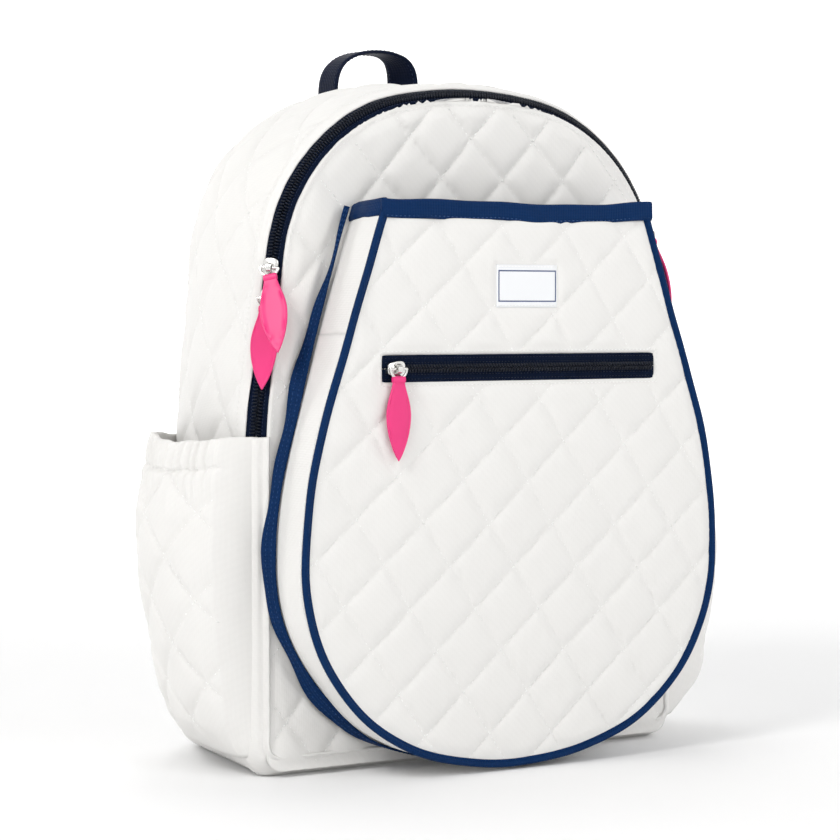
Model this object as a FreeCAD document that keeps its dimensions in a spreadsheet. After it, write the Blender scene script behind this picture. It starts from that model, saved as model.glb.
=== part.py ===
import FreeCAD, Part
import Sketcher
import math
import os
import sys

V = FreeCAD.Vector
ROT = FreeCAD.Rotation
PLC = FreeCAD.Placement

# Quilted backpack with a racket cover on its front. Millimetres, +Z up, front towards -Y.
# The origin is the middle of the flat underside.

doc = FreeCAD.newDocument("quilted_backpack")
sheet = doc.addObject("Spreadsheet::Sheet", "Dims")

SIZES = [
    # body outline at the front edge of the gusset
    ("body_half", 173.0), ("shoulder_x", 30.6), ("shoulder_z", 324.2), ("shoulder_r", 130.0),
    ("crown_z", 157.0), ("side_slope", 0.115), ("waist_r", 300.0), ("base_corner", 22.0),
    # body outline at the back panel
    ("back_half", 154.0), ("back_shoulder_x", 17.2), ("back_shoulder_z", 330.9), ("back_shoulder_r", 125.0),
    ("back_crown_z", 197.0), ("back_slope", 0.09),
    ("front_y", -75.0), ("edge_y", -62.0), ("back_y", 75.0), ("bevel", 13.0), ("wall", 4.0),
    ("panel_inset", 13.2), ("panel_low", 4.0), ("panel_corner", 9.0), ("back_seam_y", 60.0),
    ("bottom_seam_z", 24.0), ("zip_low_z", 222.0), ("fold_z", 385.0), ("fold_gap", 0.3),
    # racket cover outline
    ("cover_half", 164.0), ("cover_corner_r", 132.0), ("cover_mid_z", 140.0), ("cover_side_r", 330.0),
    ("cover_slope", 0.3346), ("cover_low", 3.0), ("cover_top", 364.5), ("cover_front_y", -128.0),
    ("cover_sheet", 2.5), ("cover_panel_inset", 3.2), ("cover_wall", 3.0), ("cover_back_gap", 0.2),
    ("door_low_x", 5.0), ("door_high_z", 290.0), ("door_gap", 2.0), ("mouth_band", 12.0),
    # front pocket
    ("pocket_zip_z", 267.3), ("pocket_left", 106.0), ("pocket_right", 110.0), ("pocket_slot", 17.2),
    ("pouch_low", 140.0), ("pouch_depth", 4.4),
    # zips
    ("tape", 0.8), ("tape_half", 8.2), ("zip_gap", 0.8), ("coil", 2.2), ("coil_rise", 1.5),
    ("slider_long", 13.0), ("slider_wide", 10.0), ("slider_plate", 1.0), ("slider_over", 2.4),
    ("slider_under", 0.9), ("slider_bridge", 0.6), ("bail_wide", 3.6), ("bail_half", 3.2),
    ("bail_top", 8.2), ("bail_hole", 2.2), ("bail_hole_top", 7.4), ("pin_rise", 5.8),
    ("wire_r", 0.9), ("ring_r", 6.0), ("leaf_long", 50.5), ("leaf_half", 9.25), ("leaf_neck", 4.5),
    ("leaf_thick", 2.0), ("sleeve_thick", 4.0), ("sleeve_near", 4.6), ("sleeve_far", 8.6),
    # label
    ("label_wide", 48.8), ("label_tall", 28.4), ("label_thick", 0.7), ("label_x", 4.8), ("label_z", 320.8),
    # side pockets
    ("side_chord", 58.0), ("side_bulge", 48.0), ("side_low", 8.0), ("side_top", 204.5), ("side_sheet", 2.5),
    ("side_round", 25.0), ("hem_tall", 17.0), ("hem_thick", 4.0),
    # handle and straps
    ("handle_half", 38.0), ("handle_wide", 24.0), ("handle_thick", 3.0), ("handle_y", 62.0),
    ("handle_pivot_z", 470.0), ("handle_top", 491.0),
    ("strap_x", 75.0), ("strap_wide", 60.0), ("strap_thick", 9.0), ("strap_high_z", 419.0),
    ("strap_low_z", 150.0), ("strap_y", 100.0), ("strap_bow", 20.0), ("web_wide", 25.0), ("web_thick", 1.8),
    ("web_low_y", 83.0), ("web_low_z", 60.0), ("lock_wide", 34.0), ("lock_tall", 30.0), ("lock_thick", 5.0),
    # inner boards and sleeve
    ("board_thick", 3.0), ("sleeve_y", 46.0), ("sleeve_half", 118.0), ("sleeve_top", 285.0),
]
VAL = dict(SIZES)
for row, (alias, number) in enumerate(SIZES, start=1):
    sheet.set("A%d" % row, alias)
    sheet.set("B%d" % row, str(number))
    sheet.setAlias("B%d" % row, alias)
doc.recompute()


class Q:
    """A size that carries its number and the expression that gives it from the sheet."""

    def __init__(self, value, text):
        self.v = float(value)
        self.t = text

    def _of(other):
        return other if isinstance(other, Q) else Q(other, "%.9g" % other)

    def __add__(self, o):
        o = Q._of(o)
        return Q(self.v + o.v, "(%s + %s)" % (self.t, o.t))

    def __sub__(self, o):
        o = Q._of(o)
        return Q(self.v - o.v, "(%s - %s)" % (self.t, o.t))

    def __mul__(self, o):
        o = Q._of(o)
        return Q(self.v * o.v, "(%s * %s)" % (self.t, o.t))

    def __truediv__(self, o):
        o = Q._of(o)
        return Q(self.v / o.v, "(%s / %s)" % (self.t, o.t))

    def __neg__(self):
        return Q(-self.v, "(0 - %s)" % self.t)

    def __radd__(self, o):
        return Q._of(o) + self

    def __rsub__(self, o):
        return Q._of(o) - self

    def __rmul__(self, o):
        return Q._of(o) * self

    def __rtruediv__(self, o):
        return Q._of(o) / self


def root(q):
    return Q(math.sqrt(q.v), "sqrt(%s)" % q.t)


def d(name):
    return Q(VAL[name], "Dims." + name)


def k(number):
    return Q(number, "%.9g" % number)


PARTS = []


def keep(obj, label):
    obj.Label = label
    PARTS.append(obj)
    return obj


# ---------------------------------------------------------------- outlines
def body_outline(which, inset, low, corner):
    """Closed outline of the body seen from the front, from the lower left corner anticlockwise.
    Each entry is (x, z, arc), where arc is None or (centre x, centre z, radius) up to the next entry."""
    if which == "front":
        half, sx, sz, sr, cz, sl = (d("body_half"), d("shoulder_x"), d("shoulder_z"), d("shoulder_r"),
                                    d("crown_z"), d("side_slope"))
    else:
        half, sx, sz, sr, cz, sl = (d("back_half"), d("back_shoulder_x"), d("back_shoulder_z"),
                                    d("back_shoulder_r"), d("back_crown_z"), d("back_slope"))
    norm = root(1 + sl * sl)
    nx, nz = 1 / norm, sl / norm
    reach = nx * sx + nz * sz + sr
    meet = (reach - nx * half) / nz
    run = d("waist_r") * nz / (1 + nx)
    w1z = meet - run
    w2x, w2z = half - run * nz, meet + run * nx
    wcx = half - d("waist_r")
    far = root(sx * sx + (sz - cz) * (sz - cz))
    tx, tz = sx / far, (sz - cz) / far
    waist = (wcx, w1z, d("waist_r") - inset)
    shoulder = (sx, sz, sr - inset)
    crown = (k(0), cz, far + sr - inset)
    right = [
        (half - inset - corner, low, (half - inset - corner, low + corner, corner)),
        (half - inset, low + corner, None),
        (half - inset, w1z, waist),
        (w2x - inset * nx, w2z - inset * nz, None),
        (sx + (sr - inset) * nx, sz + (sr - inset) * nz, shoulder),
        (sx + (sr - inset) * tx, sz + (sr - inset) * tz, crown),
    ]
    return mirror_loop(right)


def mirror_loop(right):
    """Right half (bottom to top, ending where the crown arc begins) plus its mirror image."""
    loop = list(right)
    n = len(right)
    for i in range(n - 1, -1, -1):
        x, z, _ = right[i]
        arc = right[i - 1][2] if i > 0 else None
        if arc is not None:
            arc = (-arc[0], arc[1], arc[2])
        loop.append((-x, z, arc))
    return loop


def cover_points(inset):
    """Named points and arcs of the racket cover's outline, right half."""
    half, r, zm, low = d("cover_half"), d("cover_corner_r"), d("cover_mid_z"), d("cover_low")
    big = ((half - r) * (half - r) + (zm - low) * (zm - low) - r * r) / (2 * (zm - low - r))
    ccx, ccz = half - r, zm
    far = big - r
    tx, tz = ccx / far, (ccz - (low + big)) / far
    sl = d("cover_slope")
    norm = root(1 + sl * sl)
    nx, nz = 1 / norm, sl / norm
    sr = d("cover_side_r")
    return {
        "belly": (k(0), low + big, big - inset),
        "corner": (ccx, ccz, r - inset),
        "side": (half - sr, zm, sr - inset),
        "p1": (ccx + (r - inset) * tx, ccz + (r - inset) * tz),
        "p2": (half - inset, zm),
        "p3": (half - sr + (sr - inset) * nx, zm + (sr - inset) * nz),
        "slope": sl, "nx": nx, "nz": nz,
    }


def on_belly(c, x):
    cx, cz, r = c["belly"]
    return cz - root(r * r - x * x)


def on_side_line(c, z):
    x3, z3 = c["p3"]
    return x3 - c["slope"] * (z - z3)


def flip(arc):
    return (-arc[0], arc[1], arc[2])


# ---------------------------------------------------------------- sketch helpers
def plane_of(body, role):
    return [f for f in body.Origin.OriginFeatures if f.Role == role][0]


def bind(sk, index, q):
    sk.setExpression("Constraints[%d]" % index, q.t)


def add_loop(sk, loop):
    """Lines and arcs through the given points, every point and radius bound to the sheet."""
    base = sk.GeometryCount
    n = len(loop)
    ends = []
    for i in range(n):
        x0, z0, arc = loop[i]
        x1, z1, _ = loop[(i + 1) % n]
        p0, p1 = V(x0.v, z0.v, 0), V(x1.v, z1.v, 0)
        if arc is None:
            sk.addGeometry(Part.LineSegment(p0, p1), False)
            ends.append((1, 2))
            continue
        c = V(arc[0].v, arc[1].v, 0)
        a0, a1 = math.atan2(z0.v - c.y, x0.v - c.x), math.atan2(z1.v - c.y, x1.v - c.x)
        turn = a1 - a0
        while turn <= -math.pi:
            turn += 2 * math.pi
        while turn > math.pi:
            turn -= 2 * math.pi
        circle = Part.Circle(c, V(0, 0, 1), arc[2].v)
        if turn > 0:
            sk.addGeometry(Part.ArcOfCircle(circle, a0, a0 + turn), False)
            ends.append((1, 2))
        else:
            sk.addGeometry(Part.ArcOfCircle(circle, a0 + turn, a0), False)
            ends.append((2, 1))
    for i in range(n):
        j = (i + 1) % n
        sk.addConstraint(Sketcher.Constraint("Coincident", base + i, ends[i][1], base + j, ends[j][0]))
    for i in range(n):
        x0, z0, arc = loop[i]
        c = sk.addConstraint(Sketcher.Constraint("DistanceX", -1, 1, base + i, ends[i][0], x0.v))
        bind(sk, c, x0)
        c = sk.addConstraint(Sketcher.Constraint("DistanceY", -1, 1, base + i, ends[i][0], z0.v))
        bind(sk, c, z0)
        if arc is not None:
            c = sk.addConstraint(Sketcher.Constraint("Radius", base + i, arc[2].v))
            bind(sk, c, arc[2])


def new_sketch(body, name, role, loops, offset=None):
    sk = body.newObject("Sketcher::SketchObject", name)
    sk.AttachmentSupport = [(plane_of(body, role), "")]
    sk.MapMode = "FlatFace"
    if offset is not None:
        sk.AttachmentOffset = PLC(V(0, 0, offset.v), ROT())
        sk.setExpression("AttachmentOffset.Base.z", offset.t)
    for loop in loops:
        add_loop(sk, loop)
    return sk


def new_body(name):
    return doc.addObject("PartDesign::Body", name)


def pad_body(name, role, loops, offset, length, label=None):
    """A body padded from its sketch plane's offset against the plane's normal direction by length."""
    body = new_body(name)
    sk = new_sketch(body, name + "_sketch", role, loops, offset)
    pad = body.newObject("PartDesign::Pad", name + "_pad")
    pad.Profile = sk
    pad.Length = length.v
    pad.setExpression("Length", length.t)
    body.Tip = pad
    if label:
        keep(body, label)
    return body


def rect(x0, z0, x1, z1):
    return [(x0, z0, None), (x1, z0, None), (x1, z1, None), (x0, z1, None)]


def box(name, x0, y0, z0, x1, y1, z1):
    """Box between two corners given as sizes."""
    b = doc.addObject("Part::Box", name)
    for prop, q in (("Length", x1 - x0), ("Width", y1 - y0), ("Height", z1 - z0)):
        setattr(b, prop, q.v)
        b.setExpression(prop, q.t)
    b.Placement = PLC(V(x0.v, y0.v, z0.v), ROT())
    for axis, q in (("x", x0), ("y", y0), ("z", z0)):
        b.setExpression("Placement.Base." + axis, q.t)
    return b


def cylinder(name, radius, height, place):
    c = doc.addObject("Part::Cylinder", name)
    c.Radius = radius.v
    c.setExpression("Radius", radius.t)
    c.Height = height.v
    c.setExpression("Height", height.t)
    c.Placement = place
    return c


def common(name, a, b, label=None):
    o = doc.addObject("Part::Common", name)
    o.Base, o.Tool = a, b
    return keep(o, label) if label else o


def cut(name, a, b, label=None):
    o = doc.addObject("Part::Cut", name)
    o.Base, o.Tool = a, b
    return keep(o, label) if label else o


def fuse(name, items, label=None):
    o = doc.addObject("Part::MultiFuse", name)
    o.Shapes = items
    return keep(o, label) if label else o


# ---------------------------------------------------------------- body shell
fy, ey, by = d("front_y"), d("edge_y"), d("back_y")
wall = d("wall")


def shell_body(name, sections):
    body = new_body(name)
    sketches = []
    for i, (loop, y) in enumerate(sections):
        sketches.append(new_sketch(body, "%s_sketch%d" % (name, i), "XZ_Plane", [loop], -y))
    loft = body.newObject("PartDesign::AdditiveLoft", name + "_loft")
    loft.Profile = sketches[0]
    loft.Sections = sketches[1:]
    loft.Ruled = True
    body.Tip = loft
    return body


bev_in = wall * 1.414214 - wall  # extra inset of the inner face behind the slanted edge
under = k(-0.5)  # the loft starts a little low, and the underside is trimmed flat at zero
outer = shell_body("shell_outer", [
    (body_outline("front", d("bevel"), d("panel_low"), d("panel_corner")), fy),
    (body_outline("front", k(0), under, d("base_corner")), ey),
    (body_outline("back", k(0), under, d("base_corner")), by)])
inner = shell_body("shell_inner", [
    (body_outline("front", d("bevel") + bev_in, d("panel_low") + wall, d("panel_corner") - 2), fy + wall),
    (body_outline("front", wall, wall, d("base_corner") - wall), ey + bev_in),
    (body_outline("back", wall, wall, d("base_corner") - wall), by - wall)])
shell = cut("shell", outer, inner)

far = k(400)
low, high = k(0), k(520)
bottom_z, zip_z, seam_y = d("bottom_seam_z"), d("zip_low_z"), d("back_seam_y")
common("back_panel_solid", shell, box("cut_back", -far, seam_y, low, far, k(90), high), "back_panel")
common("bottom_panel_solid", shell, box("cut_bottom", -far, ey, low, far, seam_y, bottom_z), "bottom_panel")
common("side_left_solid", shell, box("cut_left", -far, ey, bottom_z, k(0), seam_y, zip_z), "side_gusset_left")
common("side_right_solid", shell, box("cut_right", k(0), ey, bottom_z, far, seam_y, zip_z), "side_gusset_right")
common("arch_solid", shell, box("cut_arch", -far, ey, zip_z, far, seam_y, high), "top_gusset")

# slanted fabric edge below the zip, between the gusset and the front panel
edge_zone = common("edge_zone", shell, box("cut_edge", -far, fy - 1, low, far, ey, zip_z))
front_tool = pad_body("front_tool", "XZ_Plane",
                      [body_outline("front", d("panel_inset"), d("panel_low") + 0.2, d("panel_corner"))],
                      -(fy + 5), k(7))
cut("front_edge_solid", edge_zone, front_tool, "front_edge_trim")


def shoulder_x_at(z, inset):
    r = d("shoulder_r") - inset
    rise = z - d("shoulder_z")
    return d("shoulder_x") + root(r * r - rise * rise)


# front panel below the fold, and the flap above it
inset = d("panel_inset")
full = body_outline("front", inset, d("panel_low") + 0.3, d("panel_corner"))
zl = d("fold_z") - d("fold_gap")
xl = shoulder_x_at(zl, inset)
half_n = len(full) // 2
right = full[:half_n - 1]
lower_loop = right + [(xl, zl, None)]
left = []
for i in range(half_n - 2, -1, -1):
    x, z, _ = full[i]
    arc = full[i - 1][2] if i > 0 else None
    left.append((-x, z, flip(arc) if arc is not None else None))
shoulder_arc = full[half_n - 2][2]
lower_loop = right[:-1] + [(right[-1][0], right[-1][1], shoulder_arc), (xl, zl, None),
                           (-xl, zl, flip(shoulder_arc))] + left
pad_body("front_panel", "XZ_Plane", [lower_loop], -(fy + wall), wall, "front_panel")
zu = d("fold_z") + d("fold_gap")
xu = shoulder_x_at(zu, inset)
crown_entry = full[half_n - 1]
flap_loop = [(xu, zu, shoulder_arc), crown_entry,
             (-crown_entry[0], crown_entry[1], flip(shoulder_arc)), (-xu, zu, None)]
pad_body("front_flap", "XZ_Plane", [flap_loop], -(fy + wall), wall, "front_flap")


# ---------------------------------------------------------------- strips along an outline
def num(entry):
    x, z, arc = entry
    return (x.v, z.v, None if arc is None else (arc[0].v, arc[1].v, arc[2].v))


def strip(chain, section):
    """Solid made by carrying a section along lines and arcs in the XZ plane.
    chain: list of (x, z, arc) numbers, walked with the bag's inside on the left hand side when
    looking along +Y; section: list of (inset, y) points, the inset measured inwards."""
    pieces = []
    for i in range(len(chain) - 1):
        x0, z0, arc = chain[i]
        x1, z1, _ = chain[i + 1]
        if arc is None:
            dx, dz = x1 - x0, z1 - z0
            length = math.hypot(dx, dz)
            if length < 1e-6:
                continue
            nx, nz = dz / length, -dx / length
            pts = [V(x0 - w * nx, y, z0 - w * nz) for w, y in section]
            face = Part.Face(Part.makePolygon(pts + [pts[0]]))
            pieces.append(face.extrude(V(dx, 0, dz)))
        else:
            cx, cz, r = arc
            a0, a1 = math.atan2(z0 - cz, x0 - cx), math.atan2(z1 - cz, x1 - cx)
            turn = a1 - a0
            while turn < -math.pi:
                turn += 2 * math.pi
            while turn > math.pi:
                turn -= 2 * math.pi
            nx, nz = math.cos(a0), math.sin(a0)
            pts = [V(cx + (r - w) * nx, y, cz + (r - w) * nz) for w, y in section]
            face = Part.Face(Part.makePolygon(pts + [pts[0]]))
            pieces.append(face.revolve(V(cx, 0, cz), V(0, -1, 0), math.degrees(turn)))
    shape = pieces[0]
    if len(pieces) > 1:
        shape = pieces[0].fuse(pieces[1:])
        shape = shape.removeSplitter()
    return shape


def band(shape, x0, z0, x1, z1):
    tool = Part.makeBox(x1 - x0, 400, z1 - z0, V(x0, -200, z0))
    return shape.common(tool)


def solid_feature(label, shape, place=None):
    """A piece whose shape is carried along a path; it keeps one closed solid per part."""
    solids = shape.Solids
    shape = solids[0] if len(solids) == 1 else Part.makeCompound(solids)
    obj = doc.addObject("Part::Feature", label + "_shape")
    obj.Shape = shape
    obj.Placement = place if place is not None else PLC()
    return keep(obj, label)


OUT = [num(e) for e in body_outline("front", k(0), k(0), d("base_corner"))]
# right side from the lower corner up over the crown and down the left side
ARCH = OUT[1:11]
R2 = math.sqrt(2.0)


def bevel_point(across, rise):
    """Point on the slanted edge: across from the gusset's edge towards the front, rise outwards."""
    return ((across - rise) / R2, VAL["edge_y"] - (across + rise) / R2)


def bevel_section(a0, a1, n0, n1):
    return [bevel_point(a0, n0), bevel_point(a1, n0), bevel_point(a1, n1), bevel_point(a0, n1)]


MID = VAL["bevel"] * R2 / 2
GAP, TAPE, COIL, RISE = VAL["zip_gap"], VAL["tape"] / 2, VAL["coil"], VAL["coil_rise"]
ZL, ZF, FG = VAL["zip_low_z"] + 0.3, VAL["fold_z"], VAL["fold_gap"]
body_tape = strip(ARCH, bevel_section(MID - VAL["tape_half"] - 0.4, MID - GAP, -TAPE, TAPE))
flap_tape = strip(ARCH, bevel_section(MID + GAP, MID + VAL["tape_half"] + 0.6, -TAPE, TAPE))
body_coil = strip(ARCH, bevel_section(MID - GAP - COIL, MID - GAP, TAPE, TAPE + RISE))
flap_coil = strip(ARCH, bevel_section(MID + GAP, MID + GAP + COIL, TAPE, TAPE + RISE))
solid_feature("main_zip_tape_body", band(body_tape, -300, ZL, 300, 600))
solid_feature("main_zip_coil_body", band(body_coil, -300, ZL, 300, 600))
solid_feature("main_zip_tape_front", band(flap_tape, -300, ZL, 300, ZF - FG))
solid_feature("main_zip_coil_front", band(flap_coil, -300, ZL, 300, ZF - FG))
solid_feature("main_zip_tape_flap", band(flap_tape, -300, ZF + FG, 300, 600))
solid_feature("main_zip_coil_flap", band(flap_coil, -300, ZF + FG, 300, 600))

# ---------------------------------------------------------------- racket cover
cfy = d("cover_front_y")
C0 = cover_points(k(0))
top_z = d("cover_top")
band_z = top_z + d("mouth_band")


def chain_of(points, names_and_arcs):
    return [(x.v, z.v, None if a is None else (a[0].v, a[1].v, a[2].v)) for x, z, a in names_and_arcs]


def cover_chain(top):
    """Whole cover outline from the upper right corner down around the bottom to the upper left."""
    p1, p2, p3 = C0["p1"], C0["p2"], C0["p3"]
    pts = [
        (-on_side_line(C0, top), top, None),
        (-p3[0], p3[1], flip(C0["side"])),
        (-p2[0], p2[1], flip(C0["corner"])),
        (-p1[0], p1[1], C0["belly"]),
        (p1[0], p1[1], C0["corner"]),
        (p2[0], p2[1], C0["side"]),
        (p3[0], p3[1], None),
        (on_side_line(C0, top), top, None),
    ]
    return [num(e) for e in pts]


CHAIN = cover_chain(top_z)
CT = VAL["cover_top"]
yb = VAL["front_y"] - VAL["cover_back_gap"]
cw = VAL["cover_wall"]
seam_x = -VAL["door_low_x"]
left_wall = strip(CHAIN, [(0, yb), (cw, yb), (cw, -124.3), (0, -124.3)])
solid_feature("cover_gusset_left", band(left_wall, -300, -20, seam_x - 0.2, CT))
right_wall = strip(CHAIN, [(0, yb), (cw, yb), (cw, -108.2), (0, -108.2)])
solid_feature("cover_gusset_right", band(right_wall, seam_x, -20, 300, CT))
ZY = -117.3
TH = 8.0
tape_back = strip(CHAIN, [(0.6, ZY + TH + 0.6), (1.4, ZY + TH + 0.6), (1.4, ZY + GAP), (0.6, ZY + GAP)])
tape_front = strip(CHAIN, [(0.6, ZY - GAP), (1.4, ZY - GAP), (1.4, -125.2), (0.6, -125.2)])
coil_back = strip(CHAIN, [(-0.9, ZY + GAP + COIL), (0.6, ZY + GAP + COIL), (0.6, ZY + GAP), (-0.9, ZY + GAP)])
coil_front = strip(CHAIN, [(-0.9, ZY - GAP), (0.6, ZY - GAP), (0.6, ZY - GAP - COIL), (-0.9, ZY - GAP - COIL)])
TOPZ = 348.0
solid_feature("cover_zip_tape_back", band(tape_back, seam_x, -20, 300, CT))
solid_feature("cover_zip_coil_back", band(coil_back, seam_x, -20, 300, CT - 6))
solid_feature("cover_zip_tape_front", band(tape_front, seam_x + 1.2, -20, 300, TOPZ))
solid_feature("cover_zip_coil_front", band(coil_front, seam_x + 1.2, -20, 300, TOPZ))
flange = strip(CHAIN, [(-1.6, -76.0), (-0.1, -76.0), (-0.1, -88.5), (-1.6, -88.5)])
solid_feature("cover_back_binding", flange)

# round piping along the cover's front edge, split where the front swings open
def round_section(w, y, r, sides=16):
    return [(w + r * math.cos(2 * math.pi * i / sides), y + r * math.sin(2 * math.pi * i / sides))
            for i in range(sides)]


piping = strip(CHAIN, round_section(1.2, -127.3, 1.85))
high_z = VAL["door_high_z"]
door_piping = band(piping, seam_x + 1.0, -20, 300, CT)
door_piping_left = band(piping, -300, high_z + 1.5, 0, CT)
fixed_piping = band(piping, -300, -20, seam_x - 3.0, high_z - 3.0)
solid_feature("cover_piping_door", Part.makeCompound([door_piping, door_piping_left]))
solid_feature("cover_piping_fixed", fixed_piping)

# front panel of the cover: the part that swings and the sewn lower left part
cin = d("cover_panel_inset")
CI = cover_points(cin)
ax = -d("door_low_x")
az = on_belly(CI, d("door_low_x"))
bz = d("door_high_z")
bx = -on_side_line(CI, bz)
door_loop = [
    (ax, az, CI["belly"]), (CI["p1"][0], CI["p1"][1], CI["corner"]), (CI["p2"][0], CI["p2"][1], CI["side"]),
    (CI["p3"][0], CI["p3"][1], None), (on_side_line(CI, top_z), top_z, None),
    (-on_side_line(CI, top_z), top_z, None), (bx, bz, None)]
slot_half = d("pocket_slot") / 2
pz = d("pocket_zip_z")
slot = rect(-d("pocket_left"), pz - slot_half, d("pocket_right"), pz + slot_half)
pad_body("cover_front_panel", "XZ_Plane", [door_loop, slot], -(cfy + d("cover_sheet")), d("cover_sheet"),
         "cover_front_panel")
gap = d("door_gap")
a2x = ax - gap
a2z = on_belly(CI, d("door_low_x") + gap)
b2z = bz - gap
b2x = -on_side_line(CI, b2z)
corner_loop = [
    (a2x, a2z, None), (b2x, b2z, None), (-CI["p3"][0], CI["p3"][1], flip(CI["side"])),
    (-CI["p2"][0], CI["p2"][1], flip(CI["corner"])), (-CI["p1"][0], CI["p1"][1], CI["belly"])]
pad_body("cover_front_corner", "XZ_Plane", [corner_loop], -(cfy + d("cover_sheet")), d("cover_sheet"),
         "cover_front_corner")

# bindings around the mouth of the cover
mouth_low = top_z + 0.2
mx0, mx1 = on_side_line(C0, mouth_low), on_side_line(C0, band_z)
pad_body("mouth_binding_front", "XZ_Plane",
         [[(-mx0, mouth_low, None), (mx0, mouth_low, None), (mx1, band_z, None), (-mx1, band_z, None)]],
         -(cfy + 2.9), k(3.5), "mouth_binding_front")
side_loop = [(mx0 - 4, mouth_low, None), (mx0 + 0.6, mouth_low, None), (mx1 + 0.6, band_z, None),
             (mx1 - 4, band_z, None)]
left_loop = [(-side_loop[1][0], mouth_low, None), (-side_loop[0][0], mouth_low, None),
             (-side_loop[3][0], band_z, None), (-side_loop[2][0], band_z, None)]
pad_body("mouth_binding_sides", "XZ_Plane", [left_loop, side_loop], k(75.3), k(49.2), "mouth_binding_sides")

# white label patch, left plain
box_label = box("label_patch_box", d("label_x") - d("label_wide") / 2, cfy - d("label_thick"),
                d("label_z") - d("label_tall") / 2, d("label_x") + d("label_wide") / 2, cfy,
                d("label_z") + d("label_tall") / 2)
keep(box_label, "label_patch")

# zip across the front pocket
tape_y = cfy + 0.4
t0 = slot_half - 0.2
zx0, zx1 = -d("pocket_left") + 0.2, d("pocket_right") - 0.2
pad_body("pocket_tapes", "XZ_Plane",
         [rect(zx0, pz + d("zip_gap"), zx1, pz + t0), rect(zx0, pz - t0, zx1, pz - d("zip_gap"))],
         -(tape_y + d("tape")), d("tape"), "pocket_zip_tapes")
zc = d("zip_gap") + d("coil")
pad_body("pocket_coils", "XZ_Plane",
         [rect(zx0 + 0.4, pz + d("zip_gap"), zx1 - 0.4, pz + zc),
          rect(zx0 + 0.4, pz - zc, zx1 - 0.4, pz - d("zip_gap"))],
         -tape_y, d("coil_rise"), "pocket_zip_coils")
# flat pouch behind the pocket zip, its left edge slanted like the line the front swings about
pl = d("pouch_low")
pouch_top = pz + 14
pouch_out = pad_body("pouch_out", "XZ_Plane",
                     [[(k(-52), pl, None), (d("pocket_right") + 1, pl, None),
                       (d("pocket_right") + 1, pouch_top, None), (-d("pocket_left") - 1, pouch_top, None)]],
                     -(cfy + d("cover_sheet") + 0.1 + d("pouch_depth")), d("pouch_depth"))
pouch_in = pad_body("pouch_in", "XZ_Plane",
                    [[(k(-50), pl + 1, None), (d("pocket_right"), pl + 1, None),
                      (d("pocket_right"), pouch_top - 1, None), (-d("pocket_left"), pouch_top - 1, None)]],
                    -(cfy + d("cover_sheet") - 0.5 + d("pouch_depth")), d("pouch_depth") - 1.2)
pouch_slot = box("pouch_slot", -d("pocket_left"), cfy, pz - slot_half, d("pocket_right"),
                 cfy + d("cover_sheet") + 1.5, pz + slot_half)
cut("pouch_solid", cut("pouch_hollow", pouch_out, pouch_in), pouch_slot, "pocket_pouch")


# ---------------------------------------------------------------- zip sliders and pulls
def frame_place(at, along, outward):
    """Placement whose X runs along the zip, Z points out of it and Y runs across."""
    a = V(*along).normalize()
    n = V(*outward).normalize()
    across = n.cross(a).normalize()
    m = FreeCAD.Matrix(a.x, across.x, n.x, at[0], a.y, across.y, n.y, at[1], a.z, across.z, n.z, at[2], 0, 0, 0, 1)
    return PLC(m)


def slider(name, place, crosswise=False):
    L, W, T = d("slider_long") / 2, d("slider_wide") / 2, d("slider_plate")
    up, un = d("slider_over"), -d("slider_under")
    g = d("slider_bridge") / 2
    top = box(name + "_top", -L, -W, up, L, W, up + T)
    bot = box(name + "_bot", -L, -W, un - T, L, W, un)
    web = box(name + "_web", k(-1.5), -g, un - 0.1, k(2.5), g, up + 0.1)
    wide, half = d("bail_wide") / 2, d("bail_half")
    hole, hole_top = d("bail_hole"), d("bail_hole_top")
    if crosswise:
        bail = box(name + "_bail", -wide, -half, up + 0.1, wide, half, d("bail_top"))
        eye = box(name + "_eye", -wide - 1, -hole, up + T + 0.2, wide + 1, hole, hole_top)
    else:
        bail = box(name + "_bail", -half, -wide, up + 0.1, half, wide, d("bail_top"))
        eye = box(name + "_eye", -hole, -wide - 1, up + T + 0.2, hole, wide + 1, hole_top)
    body = fuse(name + "_body", [top, bot, web, bail])
    done = cut(name + "_solid", body, eye, name)
    done.Placement = place
    return done


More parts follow.
